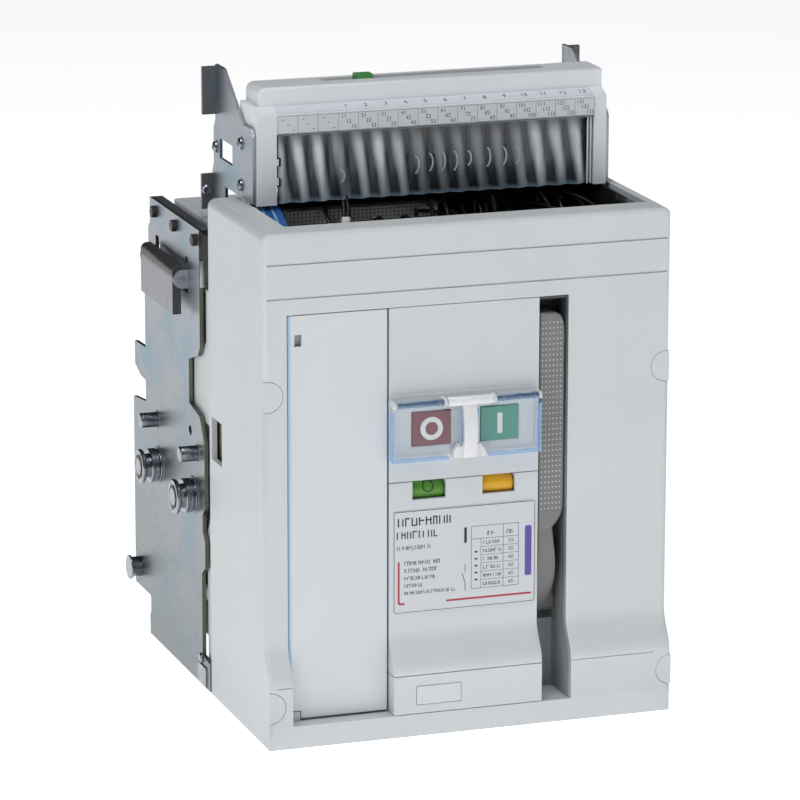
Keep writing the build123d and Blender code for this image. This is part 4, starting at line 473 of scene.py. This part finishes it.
class Shape:
    """A mesh in the making, in millimetres."""

    def __init__(self):
        self.mesh = bmesh.new()

    def point(self, axis, depth, pair):
        """A vertex at a depth along an axis and a pair across it."""
        place = [0.0, 0.0, 0.0]
        drawn, first, second = ALONG[axis]
        place[drawn], place[first], place[second] = depth, pair[0], pair[1]
        return self.mesh.verts.new(place)

    def prism(self, outline, axis, low, high):
        """An outline drawn out along an axis."""
        ends = [[self.point(axis, depth, pair) for pair in outline] for depth in (low, high)]
        self.mesh.faces.new(ends[0])
        self.mesh.faces.new(ends[1])
        for k in range(len(outline)):
            following = (k + 1) % len(outline)
            self.mesh.faces.new((ends[0][k], ends[0][following], ends[1][following], ends[1][k]))

    def box(self, x, y, z):
        """A block between two values on each axis."""
        self.prism([(y[0], z[0]), (y[1], z[0]), (y[1], z[1]), (y[0], z[1])], "X", x[0], x[1])

    def band(self, outer, inner, axis, low, high):
        """The ring between two outlines of equally many points, drawn out along an axis."""
        loops = [[self.point(axis, depth, pair) for pair in outline]
                 for depth in (low, high) for outline in (outer, inner)]
        order = (loops[0], loops[1], loops[3], loops[2])
        for here, there in zip(order, order[1:] + order[:1]):
            for k in range(len(outer)):
                following = (k + 1) % len(outer)
                self.mesh.faces.new((here[k], here[following], there[following], there[k]))

    def disc(self, centre, radius, axis, low, high, steps=24):
        """A round plate, drawn out along an axis."""
        self.prism(circle(centre, radius, steps), axis, low, high)

    def lathe(self, profile, centre, axis, steps=40, closed=False):
        """(depth, radius) points turned round an axis, closed to a ring or capped at its ends."""
        rings = [[self.point(axis, depth, pair) for pair in circle(centre, radius, steps)]
                 for depth, radius in profile]
        pairs = list(zip(rings, rings[1:]))
        if closed:
            pairs.append((rings[-1], rings[0]))
        else:
            self.mesh.faces.new(rings[0])
            self.mesh.faces.new(rings[-1])
        for here, there in pairs:
            for k in range(steps):
                following = (k + 1) % steps
                self.mesh.faces.new((here[k], here[following], there[following], there[k]))

    def sheet(self, rows):
        """A skin over rows of equally many (x, y, z) points."""
        grid = [[self.mesh.verts.new(place) for place in row] for row in rows]
        for here, there in zip(grid, grid[1:]):
            for k in range(len(here) - 1):
                self.mesh.faces.new((here[k], here[k + 1], there[k + 1], there[k]))

    def figures(self, words, size, centre, up=(0, 0, 1), thick=0.05):
        """Numerals standing a little proud of a face that runs along X."""
        curve = bpy.data.curves.new("figures", "FONT")
        curve.body, curve.size, curve.extrude = words, size, thick / 2
        curve.align_x, curve.align_y = "CENTER", "CENTER"
        curve.resolution_u = 2
        letters = bpy.data.objects.new("figures", curve)
        mesh = bpy.data.meshes.new_from_object(letters)
        across, up = Vector((1, 0, 0)), Vector(up).normalized()
        turn = Matrix((across, up, across.cross(up))).transposed().to_4x4()
        turn.translation = Vector(centre)
        mesh.transform(turn)
        self.mesh.from_mesh(mesh)
        bpy.data.objects.remove(letters)
        bpy.data.meshes.remove(mesh)
        bpy.data.curves.remove(curve)

    def piece(self, name, slot, body="root", material=None, bevel=0.0, replaces=None):
        """Ends the shape as a named object that rides on a body."""
        bmesh.ops.recalc_face_normals(self.mesh, faces=self.mesh.faces)
        bmesh.ops.scale(self.mesh, vec=(MM, MM, MM), verts=self.mesh.verts)
        mesh = bpy.data.meshes.new(name)
        self.mesh.to_mesh(mesh)
        self.mesh.free()
        mesh.materials.append(material or MATERIALS[slot])
        mesh.shade_smooth()
        mesh.set_sharp_from_angle(angle=SHARP_ANGLE)
        item = bpy.data.objects.new(name, mesh)
        bpy.context.scene.collection.objects.link(item)
        if bevel:
            rounding = item.modifiers.new("edge_round", "BEVEL")
            rounding.width, rounding.segments = bevel * MM, 2
            rounding.limit_method, rounding.angle_limit = "ANGLE", SHARP_ANGLE
        return settle(item, body, replaces)


def settle(item, body, replaces=None):
    """Hangs a piece on the body it rides on and hides the node it stands for."""
    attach(item, body)
    if replaces:
        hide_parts(replaces)
    return item


def circle(centre, radius, steps=24):
    """The outline of a circle."""
    return [(centre[0] + radius * math.cos(math.tau * k / steps),
             centre[1] + radius * math.sin(math.tau * k / steps)) for k in range(steps)]


def rounded(low, high, radius, steps=5):
    """The outline of a rectangle with round corners."""
    outline = []
    corners = ((high[0] - radius, high[1] - radius, 0), (low[0] + radius, high[1] - radius, 90),
               (low[0] + radius, low[1] + radius, 180), (high[0] - radius, low[1] + radius, 270))
    for x, z, start in corners:
        for k in range(steps + 1):
            a = math.radians(start + 90 * k / steps)
            outline.append((x + radius * math.cos(a), z + radius * math.sin(a)))
    return outline


def tube(name, points, radius, slot="wire_insulation", body="root", material=None):
    """A soft round wire or rod along a smooth line through its control points."""
    curve = bpy.data.curves.new(name, "CURVE")
    curve.dimensions = "3D"
    curve.bevel_depth, curve.bevel_resolution, curve.use_fill_caps = radius * MM, 5, True
    line = curve.splines.new("NURBS")
    line.points.add(len(points) - 1)
    for point, place in zip(line.points, points):
        point.co = (place[0] * MM, place[1] * MM, place[2] * MM, 1.0)
    line.order_u, line.use_endpoint_u, line.resolution_u = 3, True, 8
    curve.materials.append(material or MATERIALS[slot])
    item = bpy.data.objects.new(name, curve)
    bpy.context.scene.collection.objects.link(item)
    return settle(item, body)


# ---- front: button symbols, rating plate, flap rods, handle dots -------------------
def button_symbols():
    """A raised white ring on the O button and a raised white bar on the I button."""
    for node, name in ((OFF_BUTTON, "symbol_o"), (ON_BUTTON, "symbol_i")):
        x, z = (node[0][0] + node[1][0]) / 2, (node[0][2] + node[1][2]) / 2
        face = node[0][1]
        shape = Shape()
        if name == "symbol_o":
            shape.lathe([(face - 0.3, 4.1), (face - 0.3, 7.2), (face + 0.2, 7.2), (face + 0.2, 4.1)],
                        (x, z), "Y", closed=True)
            shape.piece(name, "clasp_white", "off_button", bevel=0.08)
        else:
            shape.prism(rounded((x - 1.6, z - 6.4), (x + 1.6, z + 6.4), 0.8), "Y", face - 0.3, face + 0.2)
            shape.piece(name, "clasp_white", "on_button", bevel=0.08)


INK_RISE, RULE_RISE, INK_SINK = 0.05, 0.06, 0.02  # how far print stands out of a face and reaches into it
HAIRLINE = 0.12  # half the width of a printed line


def words(shape, left, right, low, high, face, seed):
    """A line of print reduced to short blocks with the rhythm of words."""
    pick = random.Random(seed)
    depth = (face - INK_RISE, face + INK_SINK)
    x = left
    glyph = (high - low) * 0.62
    while x < right - glyph * 0.5:
        width = min(glyph * pick.uniform(0.7, 1.2), right - x)
        stem = glyph * 0.26
        shape.box((x, x + stem), depth, (low, high))
        if pick.random() < 0.75:
            level = pick.choice((low, high - stem, (low + high) / 2))
            shape.box((x + stem, x + width), depth, (level, level + stem))
        if pick.random() < 0.6:
            shape.box((x + width - stem, x + width), depth, (low, high - stem * 0.6))
        x += width + glyph * (0.9 if pick.random() < 0.16 else 0.3)


PLATE_FACE = -0.6  # y of the rating plate's face


def rating_plate():
    """Generic print: lines of marks, a small table, a switch symbol, a red rule and a violet bar."""
    ink = Shape()
    rows = [(-45.7, -9.3, 131.0, 136.3), (-46.4, -19.2, 123.2, 127.8), (-46.1, -24.4, 116.2, 118.8),
            (-41.4, -18.3, 106.4, 109.0), (-41.4, -19.7, 101.8, 104.2), (-41.4, -22.1, 97.0, 99.3),
            (-41.4, -29.6, 92.4, 94.7), (-41.4, -7.9, 87.9, 90.0)]
    for seed, (left, right, low, high) in enumerate(rows):
        words(ink, left, right, low, high, PLATE_FACE, seed)
    depth = (PLATE_FACE - RULE_RISE, PLATE_FACE + INK_SINK)
    ink.box((-3.0, -1.3), depth, (117.4, 127.1))
    ink.box((-2.5, -2.1), depth, (87.3, 92.0))
    ink.box((-2.5, -2.1), depth, (99.0, 103.9))
    ink.prism([(-2.5, 92.0), (-2.1, 92.0), (-4.0, 98.4), (-4.4, 98.2)], "Y", *depth)
    left, marks_end, words_end, right = 1.7, 7.9, 22.3, 32.2
    foot, header, head, table_rows = 88.0, 119.3, 127.3, 6
    for x, top in ((left, head), (marks_end, header), (words_end, head), (right, head)):
        ink.box((x - HAIRLINE, x + HAIRLINE), depth, (foot, top))
    for z in (foot, header, head):
        ink.box((left, right), depth, (z - HAIRLINE, z + HAIRLINE))
    row_height = (header - foot) / table_rows
    for row in range(table_rows):
        low = foot + row * row_height
        if row:
            ink.box((marks_end, right), depth, (low - 0.1, low + 0.1))
        words(ink, 9.4, 20.8, low + 1.5, low + 3.7, PLATE_FACE, 20 + row)
        ink.figures(str(65 - 5 * (row // 2)), 3.4, (27.3, PLATE_FACE - 0.03, low + 2.6))
    words(ink, 12.0, 18.0, 121.0, 123.6, PLATE_FACE, 31)
    words(ink, 24.5, 30.0, 121.0, 123.6, PLATE_FACE, 32)
    for mark in range(5):
        ink.box((3.8, 5.8), depth, (93.0 + 4.4 * mark, 94.0 + 4.4 * mark))
    outside = rounded((-48.1, 76.7), (42.8, 140.3), 1.4)
    inside = rounded((-47.8, 77.0), (42.5, 140.0), 1.2)
    ink.band(outside, inside, "Y", *depth)
    ink.piece("plate_print", "label_print", material=INK)
    red = Shape()
    red.prism([(-45.7, 109.0), (-45.7, 83.6), (-45.3, 82.4), (-44.2, 81.7), (-41.2, 81.7), (-41.2, 82.9),
               (-43.7, 82.9), (-44.5, 83.8), (-44.5, 109.0)], "Y", *depth)
    red.box((-14.5, 40.7), depth, (81.4, 82.6))
    red.piece("plate_red_rule", "label_print", material=RED_INK)
    violet = Shape()
    violet.prism(rounded((36.4, 93.3), (40.7, 125.0), 1.2), "Y", *depth)
    violet.piece("plate_violet_bar", "label_print", material=VIOLET_INK)


def flap_rods():
    """Bright hinge rods with collars, showing through the clear barrels."""
    shape, collars = Shape(), Shape()
    for flap in ("flap_left", "flap_right"):
        low, high = span(flap)
        left, right = low[0] + 3.0, high[0] - 2.0
        shape.lathe([(left, 1.5), (left + 0.3, 1.7), (right - 0.3, 1.7), (right, 1.5)], FLAP_HINGE, "X", 24)
        for share in (0.06, 0.36, 0.66, 0.92):
            x = left + (right - left) * share
            collars.lathe([(x, 1.7), (x + 0.1, 2.1), (x + 1.1, 2.1), (x + 1.2, 1.7)], FLAP_HINGE, "X", 24)
    shape.piece("flap_rods", "bright_steel", material=ROD_STEEL)
    collars.piece("flap_rod_collars", "bright_steel")


def flag_ring():
    """A printed ring that lies on the round face of the position flag's drum."""
    flag = span("position_flag")
    middle, height = (flag[0][0] + flag[1][0]) / 2, 154.3
    axis_y, axis_z, drum_radius, steps = 9.5, 151.4, 7.06, 40
    rows = []
    for radius in (2.9, 3.7):
        row = []
        for k in range(steps + 1):
            a = math.tau * k / steps
            z = height + radius * math.sin(a)
            y = axis_y - math.sqrt(drum_radius ** 2 - (z - axis_z) ** 2)
            row.append((middle + radius * math.cos(a), y, z))
        rows.append(row)
    ring = Shape()
    ring.sheet(rows)
    ring.piece("flag_ring", "label_print", "position_indicator", material=INK)


DOT_COLUMNS, DOT_ROWS = 6, 36


def handle_dots():
    """Rows of moulded domes on the front of the handle's grip."""
    left, right = HANDLE[0][0] + 1.7, HANDLE[1][0] - 2.6
    top, foot = HANDLE[1][2] - 6.1, 133.8
    face = HANDLE[0][1]
    shape = Shape()
    for row in range(DOT_ROWS):
        z = top + (foot - top) * row / (DOT_ROWS - 1)
        for column in range(DOT_COLUMNS):
            x = left + (right - left) * column / (DOT_COLUMNS - 1)
            shape.lathe([(face + 0.2, 0.48), (face - 0.02, 0.48), (face - 0.16, 0.36), (face - 0.22, 0.16)],
                        (x, z), "Y", steps=10)
    shape.piece("handle_dots", "handle_grey", "handle", material=DOT_GREY)


def plug_caps():
    """Smooth caps over the cover's four screw plugs."""
    reach = 129.9  # the caps end at the cover's sides
    shape = Shape()
    for x, z, face in ((127.5, 218.0, 0.0), (129.5, 27.0, -10.0)):
        for side in SIDES:
            outline = [(max(-reach, min(reach, u)), v) for u, v in circle((side * x, z), 9.35, 48)]
            shape.prism(outline, "Y", face + 0.05, face + 0.3)
    shape.piece("plug_caps", "cover_plastic")


# ---- terminal carrier: numbers, flutes, harness --------------------------------------
def number_strips():
    """Rules between the columns, three small numbers in each, and short bars on the slanted strip."""
    face = STRIPS[0][1]
    depth = (face - INK_RISE, face + INK_SINK)
    low, high = 361.6, 372.2
    ink, rules = Shape(), Shape()
    slope = Vector((0, 9, 4)).normalized()
    foot_of_slope = Vector((0, 78.3, 373.8))
    blank = 3  # columns without numbers
    for column in range(COLUMNS + 1):
        x = STRIPS[0][0] + FLUTE * column
        rules.box((x - HAIRLINE, x + HAIRLINE), depth, (low, high))
        if column == COLUMNS:
            break
        for row, share in enumerate((0.28, 0.52, 0.78)):
            z = high - 2.2 - row * 3.2
            if column < blank:
                middle = x + FLUTE * share
                ink.box((middle - 0.8, middle + 0.8), depth, (z - 0.15, z + 0.15))
            else:
                number = str((column - blank) * 10 + row + 11)
                ink.figures(number, 3.5, (x + FLUTE * share, face - 0.03, z))
        if column >= blank:
            place = foot_of_slope + slope * 4.4 + Vector((x + FLUTE / 2, 0, 0))
            ink.figures(str(column - blank + 1), 5.0, place, up=slope)
    for z in (low, high):
        rules.box((STRIPS[0][0], STRIPS[1][0]), depth, (z - HAIRLINE, z + HAIRLINE))
    rules.box((STRIPS[0][0], STRIPS[1][0]), (face - 0.3, face + 0.6), (360.2, 360.7))
    ink.piece("strip_numbers", "strip_print", material=INK)
    rules.piece("strip_rules", "strip_print", material=GREY_INK)


def fluted_window():
    """Frosted window moulded in upright flutes, with clips on the left and hinge strips on the right."""
    left, right = WINDOW[0][0], WINDOW[1][0] - 3.2
    low, high = WINDOW[0][2], WINDOW[1][2]
    steps, front, wave_height, wall = 220, 80.6, 1.3, 0.9
    outer, inner = [], []
    for k in range(steps + 1):
        x = left + (right - left) * k / steps
        wave = wave_height * math.sin(2 * math.pi * x / FLUTE)
        outer.append((x, front + wave))
        inner.append((x, front + wall + wave))
    shape = Shape()
    shape.prism(outer + inner[::-1], "Z", low, high)
    shape.piece("fluted_window", "window_clear", replaces="carrier_window")
    strips = Shape()
    for start, width in ((right + 0.3, 0.9), (right + 2.3, 0.9)):
        strips.prism(rounded((start, 79.0), (start + width, 80.6), 0.3, 3), "Z", low, high)
    strips.piece("window_hinge_strips", "clasp_white", bevel=0.1)
    clips = Shape()
    for z in (329.0, 341.5):
        clips.prism(rounded((left - 1.2, z), (left + 1.2, z + 5.0), 0.6, 3), "Y", 78.2, 80.0)
    clips.piece("window_clips", "black_plastic", bevel=0.15)


def harness():
    """Wires behind and below the window: a loop, a pair in a white sleeve, and the blocks' catches, painted
    light grey as glints.
    """
    tube("sleeved_wire_a", [(-50, 88, 358), (-52, 88, 342), (-56, 87, 330), (-50, 80, 317), (-52, 76, 306),
                            (-55, 72, 292)], 1.2)
    tube("sleeved_wire_b", [(-62, 88, 352), (-60, 88, 338), (-54, 86, 326), (-53, 80, 315), (-54, 76, 304),
                            (-57, 72, 292)], 1.2)
    sleeve = Shape()
    sleeve.lathe([(292, 2.2), (293, 2.8), (307, 2.8), (308, 2.2)], (-53.5, 75.0), "Z")
    sleeve.piece("wire_sleeve", "clasp_white", material=WHITE_SLEEVE)
    tube("cable_loop", [(-48, 70, 290), (-46, 66, 302), (-38, 64, 310), (-32, 68, 306), (-34, 74, 299),
                        (-44, 74, 300), (-50, 72, 290)], 1.5)
    pick = random.Random(4)
    for wire in range(20):
        x = -8 + wire * 5.4 + pick.uniform(-2, 2)
        rise = pick.uniform(303, 315)
        lean = pick.uniform(-16, 18)
        front = pick.uniform(36, 70)
        line = [(x, 106, 299 + pick.uniform(-3, 6)), (x + lean * 0.3, 94, rise),
                (x + lean, (94 + front) / 2, rise - 2), (x + lean * 1.5, front, 302),
                (x + lean * 1.2, front - 4, 290)]
        tube("harness_wire_%d" % wire, line, pick.choice((0.9, 1.1, 1.4)))
    # light grey crescents painted as the curved glints on the blocks' clear catches
    catches = Shape()
    for x, z, tall in ((-54, 333, 4.5), (-6, 337, 6), (3, 338, 6), (11, 338, 6.5), (19, 338, 6.5),
                       (28, 339, 5), (40.5, 339, 6.5), (51, 339, 6), (59.5, 339, 6)):
        outer, inner = [[(x - 2 + wide * math.cos(math.radians(a)), z + rise * math.sin(math.radians(a)))
                         for a in range(-80, 81, 16)] for wide, rise in ((3.4, tall), (2.3, tall - 0.8))]
        catches.prism(outer + inner[::-1], "Y", 78.7, 79.1)
    catches.piece("block_catches", "clasp_white", material=CATCH_GLINT)


def cover_opening():
    """What the cover's top opening shows: a black tray, a perforated rail, a beige plate and screws; the
    holes in rail and plate are black marks of painted shade.
    """
    tray = Shape()
    tray.box((-104.0, 117.0), (108.5, 110.5), (289.0, 317.0))
    tray.box((115.6, 117.0), (60.0, 108.5), (280.0, 316.0))
    tray.box((-104.0, 112.0), (84.0, 108.5), (289.0, 291.0))
    tray.piece("wire_tray", "black_plastic", bevel=0.4)
    rail_front, rail_top = 98.0, 308.5
    rail = Shape()
    rail.box((-84.0, 14.0), (rail_front, 108.0), (300.0, rail_top))
    rail.piece("perforated_rail", "clasp_white", material=WHITE_SLEEVE, bevel=0.3)
    holes = Shape()
    # the rail's perforations: black discs of painted shade
    for k in range(37):
        x = -82.0 + 2.6 * k
        for row in range(3):
            holes.disc((x, 302.2 + 2.3 * row), 0.5, "Y", rail_front - 0.1, rail_front + 0.1, 8)
            holes.disc((x, 100.2 + 2.8 * row), 0.5, "Z", rail_top - 0.1, rail_top + 0.1, 8)
    holes.piece("rail_holes", "black_plastic", material=HOLE_SHADE)
    plate = Shape()
    plate.prism(rounded((-76.0, 288.0), (-2.0, 301.5), 1.5), "Y", 82.0, 83.5)
    plate.piece("accessory_plate", "frame_steel", material=PLATE_BEIGE, bevel=0.2)
    # the plate's two holes: black patches of painted shade
    pits = Shape()
    for x in (-26.0, -15.0):
        pits.prism(rounded((x - 1.7, 294.5), (x + 1.7, 300.0), 1.4), "Y", 81.9, 82.1)
    pits.piece("accessory_plate_holes", "black_plastic", material=HOLE_SHADE)
    screws = Shape()
    for x, z in ((84.0, 300.0), (97.0, 303.0), (104.0, 296.0)):
        screws.lathe([(106.0, 3.2), (104.6, 3.2), (103.6, 2.4), (103.2, 0.8)], (x, z), "Y", 20)
    screws.piece("tray_screws", "bright_steel")


def ribbon_cable():
    """Flat blue cable from the trip unit up to the carrier, every fourth core paler."""
    for core in range(9):
        x = -106.2 + 1.52 * core
        line = [(x, 53.0, 263), (x, 53.0, 284), (x, 53.2, 297), (x, 60.0, 303.0), (x, 72.0, 309.5),
                (x, 84.0, 315.4)]
        tube("ribbon_core_%d" % core, line, 0.8, material=PALE_BLUE_WIRE if core % 4 == 1 else BLUE_WIRE)


# ---- sides: rollers, pins, screws, window in the cover -------------------------------
ROLLER_PROFILE = (  # |x| and radius: inner end, eased rim, line, groove, outer rim, counterbore
    (131.9, 5.7), (131.9, 10.2), (132.6, 11.0), (133.9, 11.0), (134.1, 10.8), (134.4, 11.0), (136.8, 11.0),
    (137.4, 10.4), (137.4, 7.7), (140.8, 7.7), (140.8, 10.4), (141.4, 11.0), (142.8, 11.0), (143.5, 10.3),
    (143.5, 8.4), (143.0, 8.1), (143.0, 5.7),
)


def rollers():
    """Turned rollers with eased rims, a rail groove and a counterbored end."""
    for side, hand in SIDES.items():
        for end in ("front", "rear"):
            node = "roller_%s_%s" % (hand, end)
            low, high = span(node)
            centre = ((low[1] + high[1]) / 2, (low[2] + high[2]) / 2)
            shape = Shape()
            shape.lathe([(side * x, r) for x, r in ROLLER_PROFILE], centre, "X", 56, closed=True)
            shape.piece(node + "_turned", "bright_steel", node, replaces=node)
            clip = Shape()
            clip.lathe([(side * 143.1, 5.62), (side * 143.1, 7.3), (side * 143.7, 7.3), (side * 143.7, 5.62)],
                       centre, "X", 32, closed=True)
            clip.piece(node + "_clip", "black_steel")


def pin_details():
    """Ring lines round the guide pins and dark seats where they are riveted into the plates."""
    rings, seats = Shape(), Shape()
    for side in SIDES:
        for centre in PIN_PLACES:
            for x in (134.2, 141.0):
                ring = [(side * (x - 0.2), 4.85), (side * x, 5.0), (side * (x + 0.2), 4.85)]
                rings.lathe(ring, centre, "X", 32)
            seat = [(side * PLATE_OUT, 5.9), (side * 130.35, 5.6), (side * 130.35, 4.9)]
            seats.lathe(seat, centre, "X", 32)
        for centre in ROLLER_PLACES:
            seat = [(side * PLATE_OUT, 12.4), (side * 130.3, 12.0), (side * 130.3, 10.0)]
            seats.lathe(seat, centre, "X", 40)
    rings.piece("pin_rings", "black_steel")
    seats.piece("pin_seats", "bright_steel", material=SEAT_STEEL)


def pan_screws():
    """Pan-head screws with cross recesses on the two brackets."""
    heads, recesses = Shape(), Shape()
    dome = [(0.0, 4.6), (0.35, 4.6), (0.4, 3.7), (1.3, 3.5), (1.9, 2.7), (2.2, 1.3), (2.2, 0.3)]
    for side, face in BRACKET_FACES.items():
        for y, z in ((103.5, 352.0), (104.0, 326.0), (156.6, 340.1)):
            heads.lathe([(side * (face + x), r) for x, r in dome], (y, z), "X", 28)
            out = sorted((side * (face + 1.6), side * (face + 2.24)))
            # the cross recesses: black bars of painted shade
            recesses.box(out, (y - 1.8, y + 1.8), (z - 0.35, z + 0.35))
            recesses.box(out, (y - 0.35, y + 0.35), (z - 1.8, z + 1.8))
    heads.piece("bracket_screw_heads", "bright_steel", replaces="bracket_screws")
    recesses.piece("bracket_screw_recesses", "black_steel", material=HOLE_SHADE)


def cover_side_window():
    """Hollow behind the window in the cover's left side, closed by a black sheet of painted shade, with a
    bright drum in it.
    """
    back = Shape()
    back.box((-120.0, -118.4), (80.0, 136.0), (138.0, 196.0))
    back.piece("side_window_back", "black_plastic", material=HOLE_SHADE, bevel=0.3)
    drum = Shape()
    profile = [(141.0, 5.6), (142.0, 6.2), (150.0, 6.2), (151.0, 5.0), (178.0, 5.0), (179.0, 6.2),
               (188.0, 6.2), (189.0, 5.6)]
    drum.lathe(profile, (-121.0, 112.5), "Z", 40)
    drum.piece("side_window_drum", "spring_steel", material=BRONZE)


POLE_PITCH = 70.0


def rear_details():
    """Ribs between the poles, housing screws and a lightly framed panel on the back."""
    face = span("pole_housing_rear")[1][1]
    ribs, screws, frames = Shape(), Shape(), Shape()
    for edge in range(4):
        x = (edge - 1.5) * POLE_PITCH
        ribs.prism(rounded((x - 1.8, 34.0), (x + 1.8, 284.0), 1.6, 4), "Y", face - 0.2, face + 2.4)
    for pole in (-POLE_PITCH, 0.0, POLE_PITCH):
        for low, high in ((226.0, 278.0), (128.0, 154.0), (36.0, 56.0)):
            outside = rounded((pole - 27, low), (pole + 27, high), 3)
            inside = rounded((pole - 25.6, low + 1.4), (pole + 25.6, high - 1.4), 2)
            frames.band(outside, inside, "Y", face - 0.1, face + 0.7)
        for slot in range(5):
            z = 233.0 + 9.2 * slot
            frames.prism(rounded((pole - 21, z), (pole + 21, z + 2.2), 1.0, 3), "Y", face - 0.1, face + 0.5)
    head = [(face - 0.2, 3.6), (face + 1.2, 3.6), (face + 1.9, 3.0), (face + 2.1, 1.7), (face + 1.1, 1.6)]
    for x in (-96.0, -44.0, -26.0, 26.0, 44.0, 96.0):
        for z in (120.0, 162.0):
            screws.lathe(head, (x, z), "Y", 24)
    ribs.piece("rear_ribs", "housing_grey", bevel=0.3)
    frames.piece("rear_frames", "housing_grey")
    screws.piece("rear_screws", "bright_steel")


def plate_backs():
    """What closes the gaps round the side plates: cover skirts, flap pockets, foot tabs and screws, and
    blades darkened with painted shade.
    """
    skirt, pocket, blades, tabs, heads = Shape(), Shape(), Shape(), Shape(), Shape()
    outline = [(112.8, 2.0), (131.5, 2.0), (131.5, 100.0), (124.0, 112.0), (124.0, 170.0), (158.0, 172.0),
               (158.0, 212.0), (131.0, 222.0), (131.0, 256.0), (112.8, 256.0)]
    for side, face in BRACKET_FACES.items():
        skirt.prism(outline, "X", *sorted((side * 125.0, side * 126.4)))
        pocket.box(sorted((side * 123.4, side * 124.4)), (150.0, 240.0), (244.0, 274.0))
        # the blades' dark coat is painted shade on the brackets' tabs
        blades.box(sorted((side * (face - 2.1), side * (face + 9.1))), (155.3, 155.9), (361.0, 391.0))
        blades.box(sorted((side * (face - 2.1), side * (face + 7.6))), (163.3, 163.9), (299.8, 322.2))
        tabs.box(sorted((side * 129.9, side * 130.9)), (123.6, 141.0), (0.8, 13.6))
        tabs.lathe([(side * 129.9, 3.2), (side * 131.0, 3.2), (side * 131.6, 2.4)], (134.5, 17.4), "X", 24)
        heads.lathe([(163.4, 3.3), (162.6, 3.3), (161.8, 2.4), (161.6, 0.9)],
                    (side * (face + 4.2), 312.0), "Y", 24)
    tabs.piece("plate_foot_tabs", "bright_steel", bevel=0.25)
    heads.piece("bracket_foot_screws", "bright_steel")
    skirt.piece("cover_skirts", "cover_plastic", bevel=0.3)
    pocket.piece("flap_pockets", "zinc_steel", material=POCKET_ZINC, bevel=0.2)
    blades.piece("bracket_blades", "frame_steel", material=SHADED_BLADE, bevel=0.2)


button_symbols()
rating_plate()
flap_rods()
flag_ring()
handle_dots()
plug_caps()
plate_backs()
rear_details()
number_strips()
fluted_window()
harness()
cover_opening()
ribbon_cable()
rollers()
pin_details()
pan_screws()
cover_side_window()


# ---- stage, light and camera --------------------------------------------------
FLOOR_GLOW = 0.84  # the floor is lit from behind like a light table


def make_floor():
    """A plain pale floor, wide enough to fill the view."""
    reach = 9.0
    mesh = bpy.data.meshes.new("floor")
    corners = [(-reach, -reach, 0), (reach, -reach, 0), (reach, reach, 0), (-reach, reach, 0)]
    mesh.from_pydata(corners, [], [(0, 1, 2, 3)])
    floor = bpy.data.objects.new("floor", mesh)
    bpy.context.scene.collection.objects.link(floor)
    shader = Shader("floor_paper", Roughness=0.9, Specular_IOR_Level=0.1, Emission_Strength=FLOOR_GLOW)
    paper = shader.mix(shader.noise(400.0, 2.0), srgb(248, 248, 249), srgb(251, 251, 251))
    shader.colour(paper)
    shader.set("Emission Color", paper)
    mesh.materials.append(shader.material)


def make_world():
    """Soft light all round, brighter from above."""
    world = bpy.data.worlds.new("studio")
    bpy.context.scene.world = world
    world.use_nodes = True
    tree = world.node_tree
    direction = tree.nodes.new("ShaderNodeTexCoord")
    axes = tree.nodes.new("ShaderNodeSeparateXYZ")
    height = tree.nodes.new("ShaderNodeMapRange")
    height.inputs["From Min"].default_value = -0.1
    height.inputs["From Max"].default_value = 0.9
    height.inputs["To Min"].default_value = 0.24
    height.inputs["To Max"].default_value = 1.25
    tree.links.new(direction.outputs["Generated"], axes.inputs[0])
    tree.links.new(axes.outputs["Z"], height.inputs["Value"])
    tree.links.new(height.outputs[0], tree.nodes["Background"].inputs["Strength"])


MIDDLE = Vector((0.0, 0.1, 0.18))  # the middle of the breaker


def soft_light(name, place, size, watts):
    """A square softbox at a place, aimed at the middle of the breaker."""
    data = bpy.data.lights.new(name, "AREA")
    data.size = size
    data.energy = watts
    light = bpy.data.objects.new(name, data)
    light.location = place
    light.rotation_euler = (MIDDLE - Vector(place)).to_track_quat("-Z", "Y").to_euler()
    bpy.context.scene.collection.objects.link(light)


CAMERA_PLACE = (-0.9507, -2.6459, 0.9127)
CAMERA_LENS = 215.93


def make_camera():
    """The view from the front left, a little above."""
    azimuth, elevation, roll = math.radians(18.912), math.radians(14.0998), math.radians(0.0918)
    forward = Vector((
        math.sin(azimuth) * math.cos(elevation),
        math.cos(azimuth) * math.cos(elevation),
        -math.sin(elevation),
    ))
    data = bpy.data.cameras.new("camera")
    data.sensor_width = 36.0
    data.lens = CAMERA_LENS
    data.clip_end = 50.0
    camera = bpy.data.objects.new("camera", data)
    turn = forward.to_track_quat("-Z", "Y").to_matrix().to_4x4()
    camera.matrix_world = Matrix.Translation(CAMERA_PLACE) @ turn @ Matrix.Rotation(roll, 4, "Z")
    bpy.context.scene.collection.objects.link(camera)
    bpy.context.scene.camera = camera


make_floor()
make_world()
soft_light("key", (-2.2, -1.35, 1.75), 1.4, 19.0)
soft_light("fill", (1.8, -1.9, 1.0), 1.6, 4.0)
soft_light("top", (-0.2, -0.5, 2.3), 1.3, 25.0)
make_camera()
bpy.context.scene.view_settings.view_transform = "Standard"
